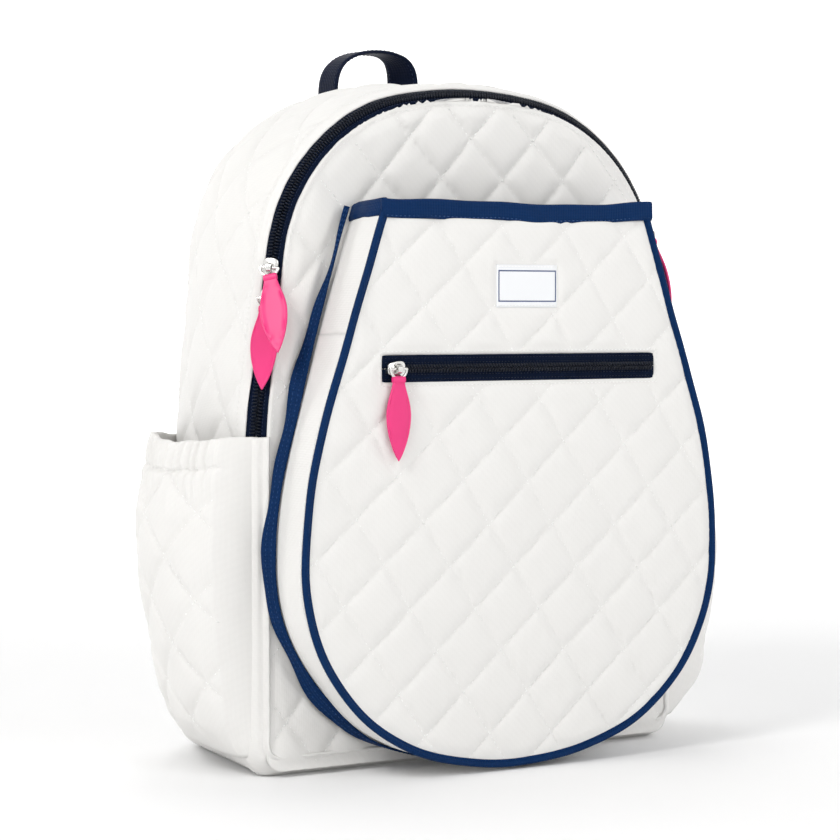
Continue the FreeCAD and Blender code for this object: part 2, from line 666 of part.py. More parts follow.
def pull_pair(name, place, tilt=0.0, swing=0.0, crosswise=False):
    """Ring and leaf hanging towards -X of the slider's frame (or -Y when crosswise), turned about the pin."""
    rise = VAL["pin_rise"]
    turn = PLC(V(0, 0, rise), ROT(V(0, 0, 1), 90.0 if crosswise else 0.0))
    lift = PLC(V(), ROT(V(0, 1, 0), tilt))
    side = PLC(V(), ROT(V(0, 0, 1), swing))
    full = place.multiply(turn).multiply(side).multiply(lift)
    bar = cylinder(name + "_bar", d("wire_r"), 2 * d("ring_r"),
                   PLC(V(0, -VAL["ring_r"], 0), ROT(V(1, 0, 0), -90)))
    bar.setExpression("Placement.Base.y", "0 - Dims.ring_r")
    torus = doc.addObject("Part::Torus", name + "_torus")
    torus.Radius1, torus.Radius2 = VAL["ring_r"], VAL["wire_r"]
    torus.setExpression("Radius1", "Dims.ring_r")
    torus.setExpression("Radius2", "Dims.wire_r")
    half = box(name + "_half", -d("ring_r") * 2, -d("ring_r") * 2, k(-3), k(0), d("ring_r") * 2, k(3))
    bow = common(name + "_bow", torus, half)
    ends = []
    for s, tag in ((1, "a"), (-1, "b")):
        ball = doc.addObject("Part::Sphere", "%s_ball_%s" % (name, tag))
        ball.Radius = VAL["wire_r"]
        ball.setExpression("Radius", "Dims.wire_r")
        ball.Placement = PLC(V(0, s * VAL["ring_r"], 0), ROT())
        ball.setExpression("Placement.Base.y", "%d * Dims.ring_r" % s)
        ends.append(ball)
    ring = fuse(name + "_ring_solid", [bar, bow] + ends, name.replace("pull", "pull_ring"))
    ring.Placement = full
    n0, f0 = d("sleeve_near"), d("sleeve_far")
    neck, wide, tip = d("leaf_neck"), d("leaf_half"), f0 + d("leaf_long")
    leaf = new_body(name + "_leaf")
    mid_u = f0.v + 0.42 * VAL["leaf_long"]

    def arc3(p0, p1, p2):
        ax_, ay_, bx_, by_, cx_, cy_ = p0[0], p0[1], p1[0], p1[1], p2[0], p2[1]
        dd = 2 * (ax_ * (by_ - cy_) + bx_ * (cy_ - ay_) + cx_ * (ay_ - by_))
        ux = ((ax_ ** 2 + ay_ ** 2) * (by_ - cy_) + (bx_ ** 2 + by_ ** 2) * (cy_ - ay_) + (cx_ ** 2 + cy_ ** 2) * (ay_ - by_)) / dd
        uy = ((ax_ ** 2 + ay_ ** 2) * (cx_ - bx_) + (bx_ ** 2 + by_ ** 2) * (ax_ - cx_) + (cx_ ** 2 + cy_ ** 2) * (bx_ - ax_)) / dd
        return k(ux), k(uy), k(math.hypot(ax_ - ux, ay_ - uy))

    up = arc3((-f0.v, neck.v), (-mid_u, wide.v), (-tip.v, 0.6))
    dn = (up[0], -up[1], up[2])
    loop = [(-f0, neck, up), (-tip, k(0.6), None), (-tip, k(-0.6), dn), (-f0, -neck, None)]
    sk = new_sketch(leaf, name + "_leaf_sketch", "XY_Plane", [loop], -d("leaf_thick") / 2)
    pad = leaf.newObject("PartDesign::Pad", name + "_leaf_pad")
    pad.Profile = sk
    pad.Length = VAL["leaf_thick"]
    pad.setExpression("Length", "Dims.leaf_thick")
    sk2 = new_sketch(leaf, name + "_sleeve_sketch", "XY_Plane",
                     [rect(-f0 - 0.5, -neck, -n0, neck)], -d("sleeve_thick") / 2)
    pad2 = leaf.newObject("PartDesign::Pad", name + "_sleeve_pad")
    pad2.Profile = sk2
    pad2.Length = VAL["sleeve_thick"]
    pad2.setExpression("Length", "Dims.sleeve_thick")
    leaf.Tip = pad2
    room = doc.addObject("Part::Torus", name + "_room")
    room.Radius1, room.Radius2 = VAL["ring_r"], VAL["wire_r"] + 0.05
    room.setExpression("Radius1", "Dims.ring_r")
    room.setExpression("Radius2", "Dims.wire_r + 0.05")
    done = cut(name + "_leaf_solid", leaf, room, name)
    done.Placement = full
    return full


# places of the four sliders: on the left side run, along the shoulder, pocket and cover
sl = VAL["side_slope"]
nrm = math.hypot(1, sl)
cnx, snz = 1 / nrm, sl / nrm
reach = cnx * VAL["shoulder_x"] + snz * VAL["shoulder_z"] + VAL["shoulder_r"]


def side_point(z, inset_w):
    """Point on the left straight run at height z, inset_w inside the outline."""
    x = (reach - inset_w - snz * z) / cnx
    return -x


mw, my = bevel_point(MID, 0)
out_main = (-cnx / R2, -1 / R2, snz / R2)
along_main = (snz, 0, cnx)
for tag, z, tilt, swing in (("upper", 332.0, 14.5, 0.0), ("lower", 312.0, 0.0, 0.0)):
    at = (side_point(z, mw), my, z)
    place = frame_place(at, along_main, out_main)
    slider("main_slider_" + tag, place)
    pull_pair("main_pull_" + tag, place, tilt, swing)

pocket_place = frame_place((-97.0, VAL["cover_front_y"] + 0.4 + 0.4, VAL["pocket_zip_z"]), (1, 0, 0), (0, -1, 0))
slider("pocket_slider", pocket_place, crosswise=True)
pull_pair("pocket_pull", pocket_place, crosswise=True)

cs = VAL["cover_slope"]
cn = math.hypot(1, cs)
z = 356.5
p3x, p3z = C0["p3"][0].v, C0["p3"][1].v
cx_at = p3x - cs * (z - p3z) - 1.0 / (1 / cn)
cover_place = frame_place((cx_at, ZY, z), (-cs / cn, 0, 1 / cn), (1 / cn, 0, cs / cn))
slider("cover_slider", cover_place)
pull_pair("cover_pull", cover_place)


# ---------------------------------------------------------------- side pockets
def side_pocket(side):
    s = -1 if side == "left" else 1
    angle = math.degrees(math.atan2(VAL["body_half"] - VAL["back_half"], VAL["back_y"] - VAL["edge_y"]))
    chord, bulge, sheet_t = d("side_chord"), d("side_bulge"), d("side_sheet")
    radius = (chord * chord + bulge * bulge) / (2 * bulge)
    cx = bulge - radius

    def dee(offset, back):
        r = radius - offset
        half = root(r * r - (cx - back) * (cx - back))
        return [(s * back, -half, (s * cx, k(0), r)), (s * (cx + r), k(0), (s * cx, k(0), r)), (s * back, half, None)]

    def lobe(name, offset, back, z0, z1, round_r):
        body = new_body(name)
        sk = new_sketch(body, name + "_sketch", "XY_Plane", [dee(offset, back)], z0)
        pad = body.newObject("PartDesign::Pad", name + "_pad")
        pad.Profile = sk
        pad.Length = (z1 - z0).v
        pad.setExpression("Length", (z1 - z0).t)
        body.Tip = pad
        doc.recompute()
        names = []
        for i, e in enumerate(body.Shape.Edges):
            c = e.BoundBox
            if abs(c.ZMin - z0.v) < 1e-6 and abs(c.ZMax - z0.v) < 1e-6 and c.XLength > 5:
                names.append("Edge%d" % (i + 1))
        if round_r is not None and names:
            f = body.newObject("PartDesign::Fillet", name + "_fillet")
            f.Base = (pad, names)
            f.Radius = round_r.v
            f.setExpression("Radius", round_r.t)
            body.Tip = f
        return body

    out = lobe("side_out_" + side, k(0), k(0), d("side_low"), d("side_top"), d("side_round"))
    inn = lobe("side_in_" + side, sheet_t, k(-3), d("side_low") + sheet_t, d("side_top") + 5,
               d("side_round") - sheet_t)
    wall_obj = cut("side_pocket_solid_" + side, out, inn, "side_pocket_" + side)
    hem_out = dee(k(0), k(0))
    r_in = radius - d("hem_thick")
    half_in = root(r_in * r_in - cx * cx)
    hem_loop = [hem_out[0], hem_out[1], (hem_out[2][0], hem_out[2][1], None),
                (k(0), half_in, (s * cx, k(0), r_in)), (s * (cx + r_in), k(0), (s * cx, k(0), r_in)),
                (k(0), -half_in, None)]
    hem = pad_body("pocket_hem_" + side, "XY_Plane", [hem_loop], d("side_top"), d("hem_tall"), "pocket_hem_" + side)
    # the chord lies just off the gusset, which narrows towards the back
    mid_y = -2.0
    mid_x = VAL["body_half"] - (mid_y - VAL["edge_y"]) * (VAL["body_half"] - VAL["back_half"]) / (VAL["back_y"] - VAL["edge_y"])
    place = PLC(V(s * (mid_x + 0.5), mid_y, 0), ROT(V(0, 0, 1), s * angle))
    wall_obj.Placement = place
    hem.Placement = place


side_pocket("left")
side_pocket("right")

# ---------------------------------------------------------------- handle
hh, ht = d("handle_half"), d("handle_thick")
hz, hp = d("handle_top"), d("handle_pivot_z")
hr = k(26)
hw = d("handle_wide") / 2
base_z = hp - hw
leg = [(hh, base_z, None), (hh, hz - hr, (hh - hr, hz - hr, hr)), (hh - hr, hz, None),
       (-hh + hr, hz, (-hh + hr, hz - hr, hr)), (-hh, hz - hr, None), (-hh, base_z, None),
       (-hh + ht, base_z, None), (-hh + ht, hz - hr, (-hh + hr, hz - hr, hr - ht)), (-hh + hr, hz - ht, None),
       (hh - hr, hz - ht, (hh - hr, hz - hr, hr - ht)), (hh - ht, hz - hr, None), (hh - ht, base_z, None)]
arch_band = pad_body("handle_band", "XZ_Plane", [leg], -(d("handle_y") + hw), d("handle_wide"))
lobe_cyl = cylinder("handle_round", hw, 2 * hh + 2,
                    PLC(V(-VAL["handle_half"] - 1, VAL["handle_y"], VAL["handle_pivot_z"]), ROT(V(0, 1, 0), 90)))
lobe_cyl.setExpression("Placement.Base.z", "Dims.handle_pivot_z")
lobe_box = box("handle_rise", -hh - 1, d("handle_y") - hw, hp, hh + 1, d("handle_y") + hw, hz + 5)
common("handle_solid", arch_band, fuse("handle_zone", [lobe_cyl, lobe_box]), "top_handle")


# ---------------------------------------------------------------- shoulder straps
def strap(side):
    s = -1 if side == "left" else 1
    x0 = s * d("strap_x")
    half = d("strap_wide") / 2
    th = d("strap_thick") / 2
    sy, szh, szl, bow = d("strap_y"), d("strap_high_z"), d("strap_low_z"), d("strap_bow")
    # sewn top end: out of the back panel and over, ending level
    r_out, r_in = k(16.5), k(7.5)
    cy, cz = sy + th - r_out, szh + 6
    stub = [(by + 0.2, cz + r_in, None), (cy, cz + r_in, (cy, cz, r_in)), (cy + r_in, cz, None),
            (cy + r_in, szh + 0.8, None), (cy + r_out, szh + 0.8, None), (cy + r_out, cz, (cy, cz, r_out)),
            (cy, cz + r_out, None), (by + 0.2, cz + r_out, None)]
    pad_body("strap_stub_" + side, "YZ_Plane", [stub], x0 - half, d("strap_wide"), "strap_anchor_" + side)
    # padded part, bowed outwards
    mid = (szh + szl) / 2
    rise = (szh - szl) / 2
    rad = (rise * rise + bow * bow) / (2 * bow)
    cyc = sy + bow - rad
    ro, ri = rad + th, rad - th
    yo = cyc + root(ro * ro - rise * rise)
    yi = cyc + root(ri * ri - rise * rise)
    pad_loop = [(yi, szl, (cyc, mid, ri)), (yi, szh, None), (yo, szh, (cyc, mid, ro)), (yo, szl, None)]
    pad_body("strap_pad_" + side, "YZ_Plane", [pad_loop], x0 - half, d("strap_wide"), "shoulder_strap_" + side)
    # ladder lock under the padded end
    lt, lh = d("lock_thick") / 2, d("lock_tall")
    lw = d("lock_wide") / 2
    plate = box("lock_plate_" + side, x0 - lw, sy - lt, szl - 0.3 - lh, x0 + lw, sy + lt, szl - 0.3)
    ww = d("web_wide") / 2 + 0.6
    s1 = box("lock_slot1_" + side, x0 - ww, sy - 6, szl - 10, x0 + ww, sy + 6, szl - 5.5)
    s2 = box("lock_slot2_" + side, x0 - ww, sy - 6, szl - 18, x0 + ww, sy + 6, szl - 13.5)
    s3 = box("lock_slot3_" + side, x0 - ww, sy - 6, szl - 26, x0 + ww, sy + 6, szl - 21.5)
    cut("lock_solid_" + side, plate, fuse("lock_slots_" + side, [s1, s2, s3]), "ladder_lock_" + side)
    # webbing from the lock down to the sewn lower end
    wy, wz, wt = d("web_low_y"), d("web_low_z"), d("web_thick") / 2
    wtop = szl - lh - 0.8
    web = [(wy - wt, wz + 0.8, None), (wy + wt, wz + 0.8, None), (sy + wt, wtop, None), (sy - wt, wtop, None)]
    pad_body("web_" + side, "YZ_Plane", [web], x0 - d("web_wide") / 2, d("web_wide"), "strap_webbing_" + side)
    end = [(by + 0.2, k(34), None), (by + 3.2, k(34), None), (wy + wt, k(52), None), (wy + wt, wz, None),
           (wy - wt, wz, None), (wy - wt, k(54), None), (by + 0.2, k(40), None)]
    pad_body("web_end_" + side, "YZ_Plane", [end], x0 - d("web_wide") / 2, d("web_wide"), "webbing_anchor_" + side)


strap("left")
strap("right")

# ---------------------------------------------------------------- inside
bt = d("board_thick")
keep(box("base_board_box", k(-135), k(-52), wall + 0.3, k(135), k(56), wall + 0.3 + bt), "base_board")
sy_ = d("sleeve_y")
keep(box("sleeve_box", -d("sleeve_half"), sy_, k(20), d("sleeve_half"), sy_ + 2.5, d("sleeve_top")), "laptop_sleeve")

# ---------------------------------------------------------------- check and write
doc.recompute()
bad = []
for o in doc.Objects:
    if "Invalid" in o.State or "Error" in o.State:
        bad.append("%s %s" % (o.Name, o.State))
for o in PARTS:
    sh = o.Shape
    if sh.isNull() or not sh.isValid() or not sh.Solids:
        bad.append("%s shape" % o.Label)
if bad:
    print("NOT BUILT:", bad)
    sys.exit(1)
os.makedirs("parts", exist_ok=True)
for old in os.listdir("parts"):
    if old.endswith(".step"):
        os.remove(os.path.join("parts", old))
for o in PARTS:
    o.Shape.exportStep(os.path.join("parts", o.Label + ".step"))
    b = o.Shape.BoundBox
    print("%-28s solids %d faces %3d vol %10.1f  x %7.1f %7.1f  y %7.1f %7.1f  z %7.1f %7.1f" % (
        o.Label, len(o.Shape.Solids), len(o.Shape.Faces), o.Shape.Volume, b.XMin, b.XMax, b.YMin, b.YMax,
        b.ZMin, b.ZMax))
print(len(PARTS), "nodes")
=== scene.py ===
import math

import bpy
import numpy as np
from mathutils import Matrix, Vector


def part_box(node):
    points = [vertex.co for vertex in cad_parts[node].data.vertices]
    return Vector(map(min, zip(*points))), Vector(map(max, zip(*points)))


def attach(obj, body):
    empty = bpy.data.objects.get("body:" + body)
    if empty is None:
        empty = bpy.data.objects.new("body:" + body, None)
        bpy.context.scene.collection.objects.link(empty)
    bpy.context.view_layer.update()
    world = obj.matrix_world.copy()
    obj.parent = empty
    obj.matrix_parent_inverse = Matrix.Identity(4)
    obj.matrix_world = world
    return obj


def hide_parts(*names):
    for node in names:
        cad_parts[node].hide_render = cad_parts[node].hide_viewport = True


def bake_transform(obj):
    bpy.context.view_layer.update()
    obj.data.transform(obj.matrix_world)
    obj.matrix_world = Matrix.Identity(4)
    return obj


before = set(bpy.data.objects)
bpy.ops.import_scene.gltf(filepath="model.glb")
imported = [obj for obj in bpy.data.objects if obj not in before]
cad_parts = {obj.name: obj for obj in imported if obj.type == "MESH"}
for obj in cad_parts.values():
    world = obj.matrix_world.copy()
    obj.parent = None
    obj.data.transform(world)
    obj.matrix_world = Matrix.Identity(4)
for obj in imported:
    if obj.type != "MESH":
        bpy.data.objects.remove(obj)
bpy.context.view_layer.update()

MM = 0.001
R2 = math.sqrt(2.0)
BAG = "bag"


# ------------------------------------------------------------------ small maths
def smooth(a, b, x):
    t = np.clip((np.asarray(x, float) - a) / (b - a), 0.0, 1.0)
    return t * t * (3 - 2 * t)


def waves(p, q, seed, wavelength, terms=7):
    """Smooth wandering field in about -1..1, always the same for the same seed."""
    rng = np.random.RandomState(seed)
    out = np.zeros(np.broadcast(p, q).shape)
    for _ in range(terms):
        ang = rng.uniform(0, 2 * math.pi)
        wl = wavelength * rng.uniform(0.7, 1.6)
        ph = rng.uniform(0, 2 * math.pi)
        out = out + np.sin(2 * math.pi * (np.cos(ang) * p + np.sin(ang) * q) / wl + ph)
    return out / terms * 1.6


class Quilt:
    """Diamond quilting over a flat pattern (s, t) in millimetres."""

    def __init__(self, origin, a, b, height, seed, wander=1.6, groove=0.5):
        self.o = np.array(origin, float)
        self.a, self.b = np.array(a, float), np.array(b, float)
        self.inv = np.linalg.inv(np.stack([self.a, self.b], 1))
        self.h, self.seed, self.wander, self.groove = height, seed, wander, groove

    def warp(self, s, t):
        return (self.wander * waves(s, t, self.seed, 170.0), self.wander * waves(s, t, self.seed + 1, 170.0))

    def coords(self, s, t):
        ws, wt = self.warp(s, t)
        ds, dt = s - self.o[0] + ws, t - self.o[1] + wt
        return self.inv[0, 0] * ds + self.inv[0, 1] * dt, self.inv[1, 0] * ds + self.inv[1, 1] * dt

    def pillow(self, s, t):
        ca, cb = self.coords(s, t)
        fa, fb = np.abs(np.sin(math.pi * ca)), np.abs(np.sin(math.pi * cb))
        soft = (1 - (1 - fa) ** 2.6) * (1 - (1 - fb) ** 2.6)
        cell = waves(np.floor(ca) * 37.0, np.floor(cb) * 53.0, self.seed + 5, 90.0)
        # short puckers that run off the stitch lines
        la, lb = np.abs(ca - np.round(ca)) * 30.0, np.abs(cb - np.round(cb)) * 30.0
        puck = (np.exp(-(la / 3.2) ** 2) * np.sin(cb * 36.0 + 3 * np.sin(cb * 7.0)) +
                np.exp(-(lb / 3.2) ** 2) * np.sin(ca * 36.0 + 3 * np.sin(ca * 5.0)))
        return self.h * soft * (1 + 0.18 * cell) + 0.13 * self.h / 2.0 * puck - self.groove * (1 - np.minimum(fa, fb)) ** 6

    def lines(self, lo, hi, step):
        """Points along every stitch line inside the box lo..hi: list of (n, 2) arrays."""
        corners = np.array([(lo[0], lo[1]), (hi[0], lo[1]), (hi[0], hi[1]), (lo[0], hi[1])]) - self.o
        c = corners @ self.inv.T
        amin, amax = np.floor(c.min(0)) - 1, np.ceil(c.max(0)) + 1
        runs = []
        for axis in (0, 1):
            other = 1 - axis
            d = self.b if axis == 0 else self.a
            n = int((amax[other] - amin[other]) * np.linalg.norm(d) / step)
            along = np.linspace(amin[other], amax[other], n)
            for kk in np.arange(amin[axis], amax[axis] + 1):
                ab = np.zeros((n, 2))
                ab[:, axis], ab[:, other] = kk, along
                base = self.o + ab[:, :1] * self.a + ab[:, 1:] * self.b
                p = base.copy()
                for _ in range(3):
                    ws, wt = self.warp(p[:, 0], p[:, 1])
                    p = base - np.stack([ws, wt], 1)
                runs.append(p)
        return runs


# ------------------------------------------------------------------ mesh building
def new_object(name, verts, faces, mats, uv=None, face_mats=None, flat=False):
    """Mesh object from millimetre points."""
    me = bpy.data.meshes.new(name)
    v = np.asarray(verts, float) * MM
    if not np.isfinite(v).all():
        raise ValueError(name + " has a point that isn't a number")
    me.from_pydata([tuple(p) for p in v], [], [tuple(int(i) for i in f) for f in faces])
    me.update()
    if uv is not None:
        layer = me.uv_layers.new(name="cloth")
        idx = np.zeros(len(me.loops), np.int32)
        me.loops.foreach_get("vertex_index", idx)
        layer.data.foreach_set("uv", (np.asarray(uv, float)[idx] * MM).astype(np.float32).ravel())
    for m in (mats if isinstance(mats, (list, tuple)) else [mats]):
        me.materials.append(m)
    if face_mats is not None:
        me.polygons.foreach_set("material_index", np.asarray(face_mats, np.int32))
    me.polygons.foreach_set("use_smooth", [not flat] * len(me.polygons))
    me.update()
    ob = bpy.data.objects.new(name, me)
    bpy.context.scene.collection.objects.link(ob)
    return ob


def grid_faces(nu, nv, closed=False, flip=False):
    """Quads of a grid whose point (i, j) has number i * nv + j."""
    i = np.arange(nu if closed else nu - 1)
    j = np.arange(nv - 1)
    ii, jj = np.meshgrid(i, j, indexing="ij")
    a = ii * nv + jj
    b = ((ii + 1) % nu) * nv + jj
    f = np.stack([a, b, b + 1, a + 1], -1).reshape(-1, 4)
    return f[:, ::-1] if flip else f


def solidify(ob, mm, offset=-1.0, inner=None, rim=None):
    m = ob.modifiers.new("thick", "SOLIDIFY")
    m.thickness, m.offset = mm * MM, offset
    m.use_even_offset = False
    if inner is not None:
        m.material_offset = inner
    if rim is not None:
        m.material_offset_rim = rim
    apply_modifiers(ob)


def apply_modifiers(ob):
    dg = bpy.context.evaluated_depsgraph_get()
    me = bpy.data.meshes.new_from_object(ob.evaluated_get(dg), preserve_all_data_layers=True, depsgraph=dg)
    ob.modifiers.clear()
    old = ob.data
    ob.data = me
    bpy.data.meshes.remove(old)


class Bits:
    """Collects many small closed shapes into one mesh."""

    def __init__(self):
        self.v, self.f, self.n = [], [], 0

    def add(self, verts, faces):
        """verts (k, m, 3): k copies of a shape of m points; faces: index lists of one shape."""
        verts = np.asarray(verts, float)
        k, m = verts.shape[:2]
        self.v.append(verts.reshape(-1, 3))
        base = self.n + np.arange(k)[:, None, None] * m
        self.f.extend((base + np.asarray(faces)[None]).reshape(-1, len(faces[0])).tolist())
        self.n += k * m

    def stitches(self, mid, along, normal, half, r, lift=0.12):
        """Thread dashes: stretched octahedra lying on a surface."""
        if len(mid) == 0:
            return
        side = np.cross(along, normal)
        side /= np.linalg.norm(side, axis=1)[:, None] + 1e-9
        c = mid + normal * lift
        v = np.stack([c - along * half - normal * lift, c + side * r, c + normal * r * 0.9, c - side * r,
                      c - normal * r, c + along * half - normal * lift], 1)
        self.add(v, [(0, 1, 2), (0, 2, 3), (0, 3, 4), (0, 4, 1), (5, 2, 1), (5, 3, 2), (5, 4, 3), (5, 1, 4)])

    def make(self, name, mat, flat=False):
        return new_object(name, np.concatenate(self.v), self.f, mat, flat=flat)


def tube(path, radius, sides=12, closed=False, shape=None, up=None):
    """Points and faces of a tube along a path (n, 3); radius may vary along it."""
    path = np.asarray(path, float)
    n = len(path)
    tan = np.gradient(path, axis=0)
    tan /= np.linalg.norm(tan, axis=1)[:, None]
    ref = np.array([0, -1.0, 0]) if up is None else np.array(up, float)
    side = np.cross(tan, ref)
    side /= np.linalg.norm(side, axis=1)[:, None]
    nor = np.cross(side, tan)
    a = np.linspace(0, 2 * math.pi, sides, endpoint=False)
    rr = np.broadcast_to(np.asarray(radius, float), (n,))
    ring = path[:, None] + rr[:, None, None] * (np.cos(a)[None, :, None] * side[:, None] +
                                                np.sin(a)[None, :, None] * nor[:, None])
    v = ring.reshape(-1, 3)
    f = []
    for i in range(n if closed else n - 1):
        for j in range(sides):
            p, q = i * sides + j, i * sides + (j + 1) % sides
            r, s = ((i + 1) % n) * sides + (j + 1) % sides, ((i + 1) % n) * sides + j
            f.append((p, q, r, s))
    if not closed:
        f = [list(x) for x in f]
        f.append(list(range(sides))[::-1])
        f.append([(n - 1) * sides + j for j in range(sides)])
    uv = np.stack([np.repeat(np.arange(n) * 1.0, sides), np.tile(a, n) * 3], 1)
    return v, f, uv


# ------------------------------------------------------------------ materials
def shader(name, rgb, rough, metal=0.0, sheen=0.0, spec=0.5):
    m = bpy.data.materials.new(name)
    m.use_nodes = True
    b = m.node_tree.nodes["Principled BSDF"]
    b.inputs["Base Color"].default_value = (*rgb, 1)
    b.inputs["Roughness"].default_value = rough
    b.inputs["Metallic"].default_value = metal
    b.inputs["Sheen Weight"].default_value = sheen
    b.inputs["Sheen Roughness"].default_value = 0.5
    b.inputs["Specular IOR Level"].default_value = spec
    return m, m.node_tree, b


def cloth(name, rgb, rough=0.7, weave=0.7, depth=0.25, sheen=0.15, spread=0.03, twill=False, spec=0.3):
    """Woven cloth: crossing threads of the given pitch in millimetres, slightly uneven in colour, with painted shade
    darkening the colour in the weave's valleys.
    """
    m, nt, b = shader(name, rgb, rough, sheen=sheen, spec=spec)
    N, L = nt.nodes, nt.links
    uv = N.new("ShaderNodeTexCoord")
    heights = []
    for axis in (0, 1):
        w = N.new("ShaderNodeTexWave")
        w.wave_type = "BANDS"
        w.bands_direction = "DIAGONAL" if (twill and axis) else ("X" if axis == 0 else "Y")
        w.inputs["Scale"].default_value = 1000.0 / weave / 6.2832 * (0.62 if (twill and axis) else 1.0)
        w.inputs["Distortion"].default_value = 1.2
        w.inputs["Detail"].default_value = 1.0
        w.inputs["Detail Scale"].default_value = 0.6
        L.new(uv.outputs["UV"], w.inputs["Vector"])
        heights.append(w)
    mix = N.new("ShaderNodeMath")
    mix.operation = "ADD"
    L.new(heights[0].outputs["Fac"], mix.inputs[0])
    L.new(heights[1].outputs["Fac"], mix.inputs[1])
    crease = N.new("ShaderNodeTexNoise")
    crease.inputs["Scale"].default_value = 42.0
    crease.inputs["Detail"].default_value = 5.0
    crease.inputs["Roughness"].default_value = 0.55
    L.new(uv.outputs["Object"], crease.inputs["Vector"])
    b2 = N.new("ShaderNodeBump")
    b2.inputs["Strength"].default_value = 0.55
    b2.inputs["Distance"].default_value = 0.0012
    L.new(crease.outputs["Fac"], b2.inputs["Height"])
    bump = N.new("ShaderNodeBump")
    bump.inputs["Strength"].default_value = depth
    bump.inputs["Distance"].default_value = 0.00018
    L.new(mix.outputs["Value"], bump.inputs["Height"])
    L.new(b2.outputs["Normal"], bump.inputs["Normal"])
    L.new(bump.outputs["Normal"], b.inputs["Normal"])
    tint = N.new("ShaderNodeTexNoise")
    tint.inputs["Scale"].default_value = 14.0
    tint.inputs["Detail"].default_value = 6.0
    L.new(uv.outputs["Object"], tint.inputs["Vector"])
    ramp = N.new("ShaderNodeMix")
    ramp.data_type = "RGBA"
    lo = [max(0.0, c * (1 - spread * 2.2)) for c in rgb]
    hi = [min(1.0, c * (1 + spread)) for c in rgb]
    ramp.inputs[6].default_value = (*lo, 1)
    ramp.inputs[7].default_value = (*hi, 1)
    L.new(tint.outputs["Fac"], ramp.inputs[0])
    # painted shade: the base colour is multiplied down towards 0.80 where the weave's height is low, darkening the
    # valleys between the threads
    thread = N.new("ShaderNodeMix")
    thread.data_type = "RGBA"
    thread.blend_type = "MULTIPLY"
    thread.inputs[0].default_value = 0.55 * min(1.0, depth * 1.4)
    L.new(ramp.outputs[2], thread.inputs[6])
    shade = N.new("ShaderNodeMapRange")
    shade.inputs["From Min"].default_value = 0.0
    shade.inputs["From Max"].default_value = 2.0
    shade.inputs["To Min"].default_value = 0.80
    shade.inputs["To Max"].default_value = 1.0
    L.new(mix.outputs["Value"], shade.inputs["Value"])
    L.new(shade.outputs["Result"], thread.inputs[7])
    L.new(thread.outputs[2], b.inputs["Base Color"])
    rr = N.new("ShaderNodeMapRange")
    rr.inputs["To Min"].default_value = rough - 0.07
    rr.inputs["To Max"].default_value = rough + 0.07
    L.new(tint.outputs["Fac"], rr.inputs["Value"])
    L.new(rr.outputs["Result"], b.inputs["Roughness"])
    return m


def metal(name, rgb, rough):
    m, nt, b = shader(name, rgb, rough, metal=1.0)
    N, L = nt.nodes, nt.links
    tc = N.new("ShaderNodeTexCoord")
    n = N.new("ShaderNodeTexNoise")
    n.inputs["Scale"].default_value = 420.0
    n.inputs["Detail"].default_value = 4.0
    L.new(tc.outputs["Object"], n.inputs["Vector"])
    r = N.new("ShaderNodeMapRange")
    r.inputs["To Min"].default_value = rough * 0.6
    r.inputs["To Max"].default_value = rough * 1.7
    L.new(n.outputs["Fac"], r.inputs["Value"])
    L.new(r.outputs["Result"], b.inputs["Roughness"])
    return m


def moulded(name, rgb, rough, grain=900.0, depth=0.12, sheen=0.0, spec=0.5):
    m, nt, b = shader(name, rgb, rough, sheen=sheen, spec=spec)
    N, L = nt.nodes, nt.links
    tc = N.new("ShaderNodeTexCoord")
    n = N.new("ShaderNodeTexNoise")
    n.inputs["Scale"].default_value = grain
    n.inputs["Detail"].default_value = 3.0
    L.new(tc.outputs["Object"], n.inputs["Vector"])
    bu = N.new("ShaderNodeBump")
    bu.inputs["Strength"].default_value = depth
    bu.inputs["Distance"].default_value = 0.0003
    L.new(n.outputs["Fac"], bu.inputs["Height"])
    L.new(bu.outputs["Normal"], b.inputs["Normal"])
    n2 = N.new("ShaderNodeTexNoise")
    n2.inputs["Scale"].default_value = 60.0
    L.new(tc.outputs["Object"], n2.inputs["Vector"])
    c = N.new("ShaderNodeMix")
    c.data_type = "RGBA"
    c.inputs[6].default_value = (*[x * 0.93 for x in rgb], 1)
    c.inputs[7].default_value = (*[min(1.0, x * 1.05) for x in rgb], 1)
    L.new(n2.outputs["Fac"], c.inputs[0])
    L.new(c.outputs[2], b.inputs["Base Color"])
    return m


WHITE = cloth("white_twill", (0.80, 0.79, 0.77), rough=0.62, weave=0.8, depth=0.12, sheen=0.08, spread=0.012, twill=True)
THREAD = moulded("white_thread", (0.95, 0.95, 0.94), 0.5, grain=3000.0)
LINING = cloth("lining_cloth", (0.52, 0.52, 0.53), rough=0.7, weave=0.5, depth=0.2, spread=0.03)
NAVY_TAPE = cloth("navy_zip_tape", (0.0035, 0.0085, 0.026), rough=0.75, weave=0.9, depth=0.6, sheen=0.0, spread=0.12, twill=True, spec=0.06)
NAVY_WEB = cloth("navy_webbing", (0.0016, 0.0058, 0.023), rough=0.52, weave=1.1, depth=0.6, sheen=0.0, spread=0.1, spec=0.10)
BLUE = cloth("blue_grosgrain", (0.0022, 0.0255, 0.100), rough=0.58, weave=1.0, depth=0.7, sheen=0.0, spread=0.1, spec=0.08)
BLUE_THREAD = moulded("blue_thread", (0.012, 0.060, 0.20), 0.5, grain=3000.0)
NAVY_THREAD = moulded("navy_thread", (0.012, 0.022, 0.06), 0.5, grain=3000.0)
COIL = moulded("zip_coil_nylon", (0.005, 0.008, 0.017), 0.38, grain=1500.0, depth=0.05, spec=0.25)
STEEL = metal("nickel", (0.80, 0.79, 0.77), 0.22)
PINK = moulded("pink_rubber", (0.80, 0.030, 0.200), 0.42, grain=700.0, depth=0.10)
PLASTIC = moulded("navy_plastic", (0.012, 0.020, 0.045), 0.38, grain=600.0, depth=0.15)
